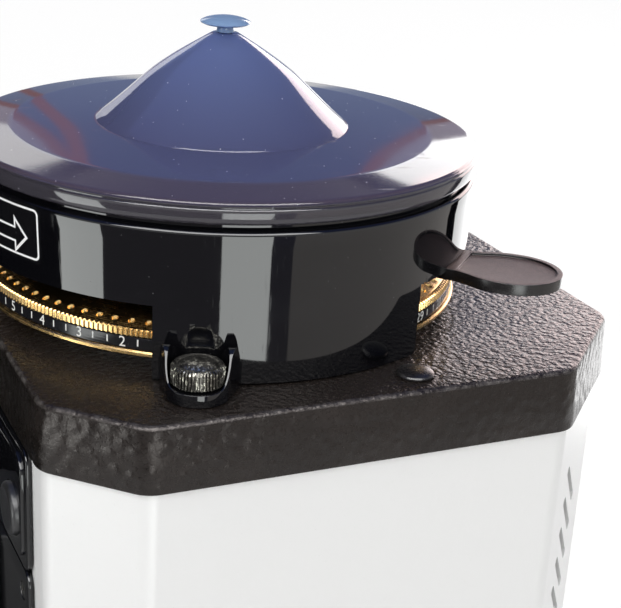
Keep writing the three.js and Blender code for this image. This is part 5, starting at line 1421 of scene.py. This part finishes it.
# Finishes of the pieces that stay as the frame has them


class GRINDER_OT_inner_finishes(bpy.types.Operator):
    """Give the inner pieces, which keep the frame's shape, their finishes"""

    bl_idname = "grinder.inner_finishes"
    bl_label = "Inner finishes"

    def execute(self, context):
        finishes = (
            (cast_metal("chamber_casting", (0.46, 0.46, 0.47)),
             ("grinding_chamber", "upper_burr_carrier", "burr_wheel")),
            (cast_metal("bell_casting", (0.50, 0.50, 0.51), 0.5), ("motor_bell_upper", "motor_bell_lower")),
            (ground_steel("burr_steel", (0.50, 0.51, 0.53), 0.2), ("upper_burr", "lower_burr", "wheel_nut")),
            (ground_steel("turned_steel", (0.56, 0.56, 0.57), 0.22, (2.0, 2.0, 30.0)),
             ("motor_shaft", "bearing_upper", "bearing_lower", "click_sleeve", "click_pin")),
            (ground_steel("bolt_steel", (0.42, 0.42, 0.43), 0.3), [f"chamber_bolt_{i}" for i in range(1, 5)]),
            (ground_steel("blade_steel", (0.60, 0.60, 0.61), 0.18, (1.0, 14.0, 1.0)), ["gate_blade"]),
            (wound_core((0.22, 0.22, 0.23)), ("stator", "rotor")),
            (cast_metal("can_metal", (0.55, 0.56, 0.58), 0.3), ["capacitor"]),
            (circuit_board((0.03, 0.11, 0.05)), ["control_board"]),
            (satin_plastic("inner_black", (0.02, 0.02, 0.02), 600, 0.5),
             ("fan", "button_carrier", "outlet_duct", "dose_switch")),
        )
        for material, nodes in finishes:
            for name in nodes:
                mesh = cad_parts[name].data
                mesh.materials.clear()
                mesh.materials.append(material)
        return {"FINISHED"}


class GRINDER_OT_carrier_springs(bpy.types.Operator):
    """Wind the three springs that lift the upper burr's carrier"""

    bl_idname = "grinder.carrier_springs"
    bl_label = "Carrier springs"

    TURNS = 3
    CLOSING = 0.85
    WIRE_RADIUS = 0.45

    def execute(self, context):
        steel = ground_steel("spring_steel", (0.56, 0.56, 0.57), 0.22, (2.0, 2.0, 30.0))
        for number in (1, 2, 3):
            node = f"carrier_spring_{number}"
            low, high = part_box(node)
            middle, size = (low + high) / 2, high - low
            spring = self.coil(f"coil_spring_{number}", middle, low.z, high.z, min(size.x, size.y) / 2)
            finished(spring, steel, "machine", [node], smooth=60)
            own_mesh(spring)
        return {"FINISHED"}

    def coil(self, name, middle, low, high, outside):
        """A round wire wound up from low to high, within the outside radius."""
        thickness = min(self.WIRE_RADIUS * MM, (high - low) / (2 * self.TURNS + 2))
        pitch = (high - low - 2 * thickness) / self.TURNS
        clear_selection()
        bpy.ops.mesh.primitive_circle_add(vertices=10, radius=thickness, fill_type="NOTHING", location=(0, 0, 0),
                                          rotation=(math.radians(90), 0, 0))
        piece = bpy.context.object
        piece.name = piece.data.name = name
        bpy.ops.object.transform_apply(location=True, rotation=True, scale=True)
        edit(piece)
        bpy.ops.transform.translate(value=(outside - thickness, 0, 0))
        leave(piece)
        modified(piece, "SCREW", angle=math.tau, screw_offset=pitch, iterations=self.TURNS, steps=24, render_steps=24,
                 axis="Z", use_smooth_shade=True)
        edit(piece)
        bpy.ops.mesh.select_all(action="DESELECT")
        bpy.ops.mesh.select_non_manifold()
        bpy.ops.mesh.edge_face_add()
        close_up()
        bpy.ops.mesh.select_all(action="SELECT")
        bpy.ops.transform.translate(value=(middle.x, middle.y, low + thickness))
        return leave(piece)


# Stage


class GRINDER_OT_stage(bpy.types.Operator):
    """Set the floor, the lamps, the cards that the gloss mirrors, and the camera"""

    bl_idname = "grinder.stage"
    bl_label = "Stage"

    def execute(self, context):
        stage = context.scene.grinder_stage
        self.floor(stage)
        self.sky(context.scene, stage)
        self.lamp("key_lamp", (0.55, -1.25, 1.25), 1.0, stage.key)
        self.lamp("fill_lamp", (1.35, 0.35, 1.05), 0.9, stage.fill)
        self.cards()
        self.camera(context.scene)
        context.scene.view_settings.view_transform = "Standard"
        return {"FINISHED"}

    @staticmethod
    def floor(stage):
        clear_selection()
        bpy.ops.mesh.primitive_plane_add(size=12, location=(0, 0, 0))
        floor = bpy.context.object
        floor.name = "floor"
        paint = Paint("pale_floor")
        grain = paint.noise(3, 3.0)
        paint.coat(Base_Color=paint.mix(grain * 0.2, tuple(stage.floor), (0.76, 0.76, 0.76)), Roughness=0.9)
        white = paint.between(paint.seen_as_white(), 0, 1) * 0.82
        lit = paint.add("ShaderNodeEmission", None, {"Strength": 1.1, "Color": (1, 1, 1)})
        bare = Value(paint, paint.shader.outputs[0])
        paint.feed(paint.ending.inputs[0], paint.add("ShaderNodeMixShader", None, {0: white, 1: bare, 2: lit}))
        floor.data.materials.append(paint.material)

    @staticmethod
    def sky(scene, stage):
        """Even light; gloss sees white near the horizon, a warm fringe and a dim blue overhead."""
        world = scene.world = bpy.data.worlds.new("studio")
        world.use_nodes = True
        sky = Tree(world.node_tree)
        ramp = sky.add("ShaderNodeValToRGB", None, {0: sky.part(sky.add("ShaderNodeTexCoord", out="Generated"), "Z")})
        stops = [(0.0, (1, 1, 1)), (0.30, (0.8, 0.82, 0.86)), (0.40, (0.40, 0.42, 0.52)), (0.50, (0.13, 0.16, 0.36)),
                 (0.75, (0.09, 0.13, 0.40)), (1.0, (0.12, 0.20, 0.50))]
        elements = ramp.socket.node.color_ramp.elements
        while len(elements) < len(stops):
            elements.new(1.0)
        for stop, (position, tone) in zip(elements, stops):
            stop.position = position
            stop.color = (*tone, 1.0)
        tone = sky.mix(sky.ray("Glossy"), (1, 1, 1), ramp)
        strength = sky.between(sky.seen_as_white(), 0, 1, stage.sky, 1.0)
        background = sky.add("ShaderNodeBackground", None, {0: tone, 1: strength})
        sky.add("ShaderNodeOutputWorld", None, {0: background})

    @staticmethod
    def lamp(name, place, size, power):
        clear_selection()
        bpy.ops.object.light_add(type="AREA", location=place)
        lamp = bpy.context.object
        lamp.name = name
        lamp.data.shape = "SQUARE"
        lamp.data.size = size
        lamp.data.energy = power
        lamp.rotation_euler = (Vector((0, 0, 0.25)) - Vector(place)).to_track_quat("-Z", "Y").to_euler()
        lamp.visible_glossy = False

    def cards(self):
        """Near cards for the collar, far ones for the lid: azimuths, tones at both edges, lean in degrees."""
        low, high, far_low, far_high = GROUND + 4, GROUND + 330, 60, 1420
        black, grey, white = (0, 0, 0), (0.2, 0.19, 0.21), (4.4, 4.4, 4.4)
        pale, bright, rosy, dim = (5.8, 6.0, 5.9), (3, 3, 3), (5.8, 4.8, 4.7), (0.55, 0.50, 0.62)
        fringe = (0.28, 0.15, 0.15), (0.52, 0.19, 0.16)
        near = (
            ("card_left", -90.4, -69.8, pale, pale),
            ("flag_front", -69.8, -20.0, grey, grey),
            ("card_front", -20.0, 0.4, pale, pale),
            ("flag_middle", 0.4, 9.5, grey, (0.2, 0.2, 0.3)),
            ("card_broad", 9.5, 96.3, (0.76, 0.72, 0.69), (1.0, 0.95, 0.92)),
            ("flag_right", 96.3, 104.5, black, black),
            ("card_right", 104.5, 150, bright, bright),
        )
        for name, first, last, *tones in near:
            self.card(name, (750, 752), (first, last), (low, high), *tones)
        self.card("flag_left", (750, 752), (-172, -90.4), (low, high + 700), black, black)
        self.card("flag_ground", (150, 749), (-176, -100), (GROUND + 1, GROUND + 2), black, black)
        self.card("card_above", (1500, 1502), (-70, 25), (800, 2700), (10, 10, 10), (9, 9, 9))
        self.card("card_blue", (3100, 3102), (100, 186), (far_low, far_high + 200),
                  (0.27, 0.34, 0.52), (0.06, 0.09, 0.24))
        far = (
            ("card_rosy", 3000, 104, 138.1, 7.9, rosy, rosy),
            ("card_far_right", 3000, 138, 141.4, 7.9, white, white),
            ("card_dim_right", 3000, 141.3, 144.1, 7.9, dim, dim),
            ("fringe_right", 2999, 144.0, 144.7, 7.9, *fringe),
            ("fringe_left", 2980, 169.4, 170.1, -4.3, *fringe),
            ("fringe_end", 2990, 172.7, 173.4, -7.6, *fringe),
            ("card_dim_left", 3000, 173.3, 176, -7.6, dim, dim),
            ("card_far_left", 3000, 175.9, 190, -7.6, (0.8, 0.8, 0.9), (2.4, 2.4, 2.4)),
        )
        for name, inner, first, last, lean, *tones in far:
            self.card(name, (inner, inner + 2), (first, last), (far_low, far_high), *tones, lean)

    @staticmethod
    def card(name, radii, azimuths, heights, tone, upper, lean=0):
        """An upright curved card that only gloss sees."""
        (first, last), (low, high) = azimuths, heights
        steps = max(3, int((last - first) / 3))
        piece = raised(name, sector(*radii, first, last, steps), low, high)
        if lean:
            edit(piece)
            pick(piece, "verts", lambda corner: corner.co.z > PLATE_TOP + (low + high) / 2 * MM)
            bpy.ops.transform.rotate(value=math.radians(-lean), orient_axis="Z", center_override=at(0, 0, high))
            leave(piece)
        paint = Paint(name)
        share = paint.between(paint.part(paint.place, "Z"), PLATE_TOP + low * MM, PLATE_TOP + high * MM)
        paint.coat(Base_Color=(0, 0, 0), Specular_IOR_Level=0.0, Emission_Color=paint.mix(share, tone, upper),
                   Emission_Strength=1.0)
        piece.data.materials.append(paint.material)
        piece.visible_camera = piece.visible_diffuse = piece.visible_shadow = False
        piece.visible_transmission = piece.visible_volume_scatter = False

    @staticmethod
    def camera(scene):
        """The camera stands where the photograph was taken from, rolled 3.5 degrees; the picture was cropped."""
        data = bpy.data.cameras.new("photograph")
        camera = bpy.data.objects.new("photograph", data)
        scene.collection.objects.link(camera)
        across = Vector((0.4124, 0.9092, 0.0564))
        upwards = Vector((-0.3709, 0.1111, 0.9220))
        back = Vector((0.8321, -0.4012, 0.3831))
        camera.matrix_world = Matrix.Translation((0.3956, -0.1315, 0.5038)) @ Matrix(
            (across, upwards, back)).transposed().to_4x4()
        width, focal, centre = 621, 1474, (321, 304)
        data.sensor_width = 36
        data.lens = focal / width * data.sensor_width
        data.shift_x = (310.5 - centre[0]) / width
        data.shift_y = (349 - centre[1]) / width
        data.clip_end = 50
        scene.camera = camera


# Panel and registration


class GRINDER_PT_pieces(bpy.types.Panel):
    bl_label = "Coffee grinder"
    bl_idname = "GRINDER_PT_pieces"
    bl_space_type = "VIEW_3D"
    bl_region_type = "UI"
    bl_category = "Grinder"

    def draw(self, context):
        layout = self.layout
        for group in GROUPS:
            box = layout.box()
            box.label(text=group.__name__)
            values = getattr(context.scene, scene_name(group))
            for name in group.__annotations__:
                box.prop(values, name)
        for operator in OPERATORS:
            layout.operator(operator.bl_idname)


GROUPS = (GrinderPlate, GrinderShell, GrinderCollar, GrinderRing, GrinderLid, GrinderFront, GrinderStage)
OPERATORS = (
    GRINDER_OT_stage, GRINDER_OT_top_plate, GRINDER_OT_casing, GRINDER_OT_base, GRINDER_OT_collar,
    GRINDER_OT_thumb_screws, GRINDER_OT_gate, GRINDER_OT_finger_guard, GRINDER_OT_adjusting_ring, GRINDER_OT_lid,
    GRINDER_OT_arrow_plate, GRINDER_OT_front_panels, GRINDER_OT_spout_and_fork, GRINDER_OT_rear_fittings,
    GRINDER_OT_inner_finishes, GRINDER_OT_carrier_springs,
)


def scene_name(group):
    return "grinder_" + group.__name__[len("Grinder"):].lower()


def register():
    for entry in (*GROUPS, *OPERATORS, GRINDER_PT_pieces):
        bpy.utils.register_class(entry)
    for group in GROUPS:
        setattr(bpy.types.Scene, scene_name(group), PointerProperty(type=group))


def unregister():
    for group in GROUPS:
        delattr(bpy.types.Scene, scene_name(group))
    for entry in reversed((*GROUPS, *OPERATORS, GRINDER_PT_pieces)):
        bpy.utils.unregister_class(entry)


def main():
    register()
    for operator in OPERATORS:
        family, name = operator.bl_idname.split(".")
        getattr(getattr(bpy.ops, family), name)()


if __name__ == "__main__":
    main()
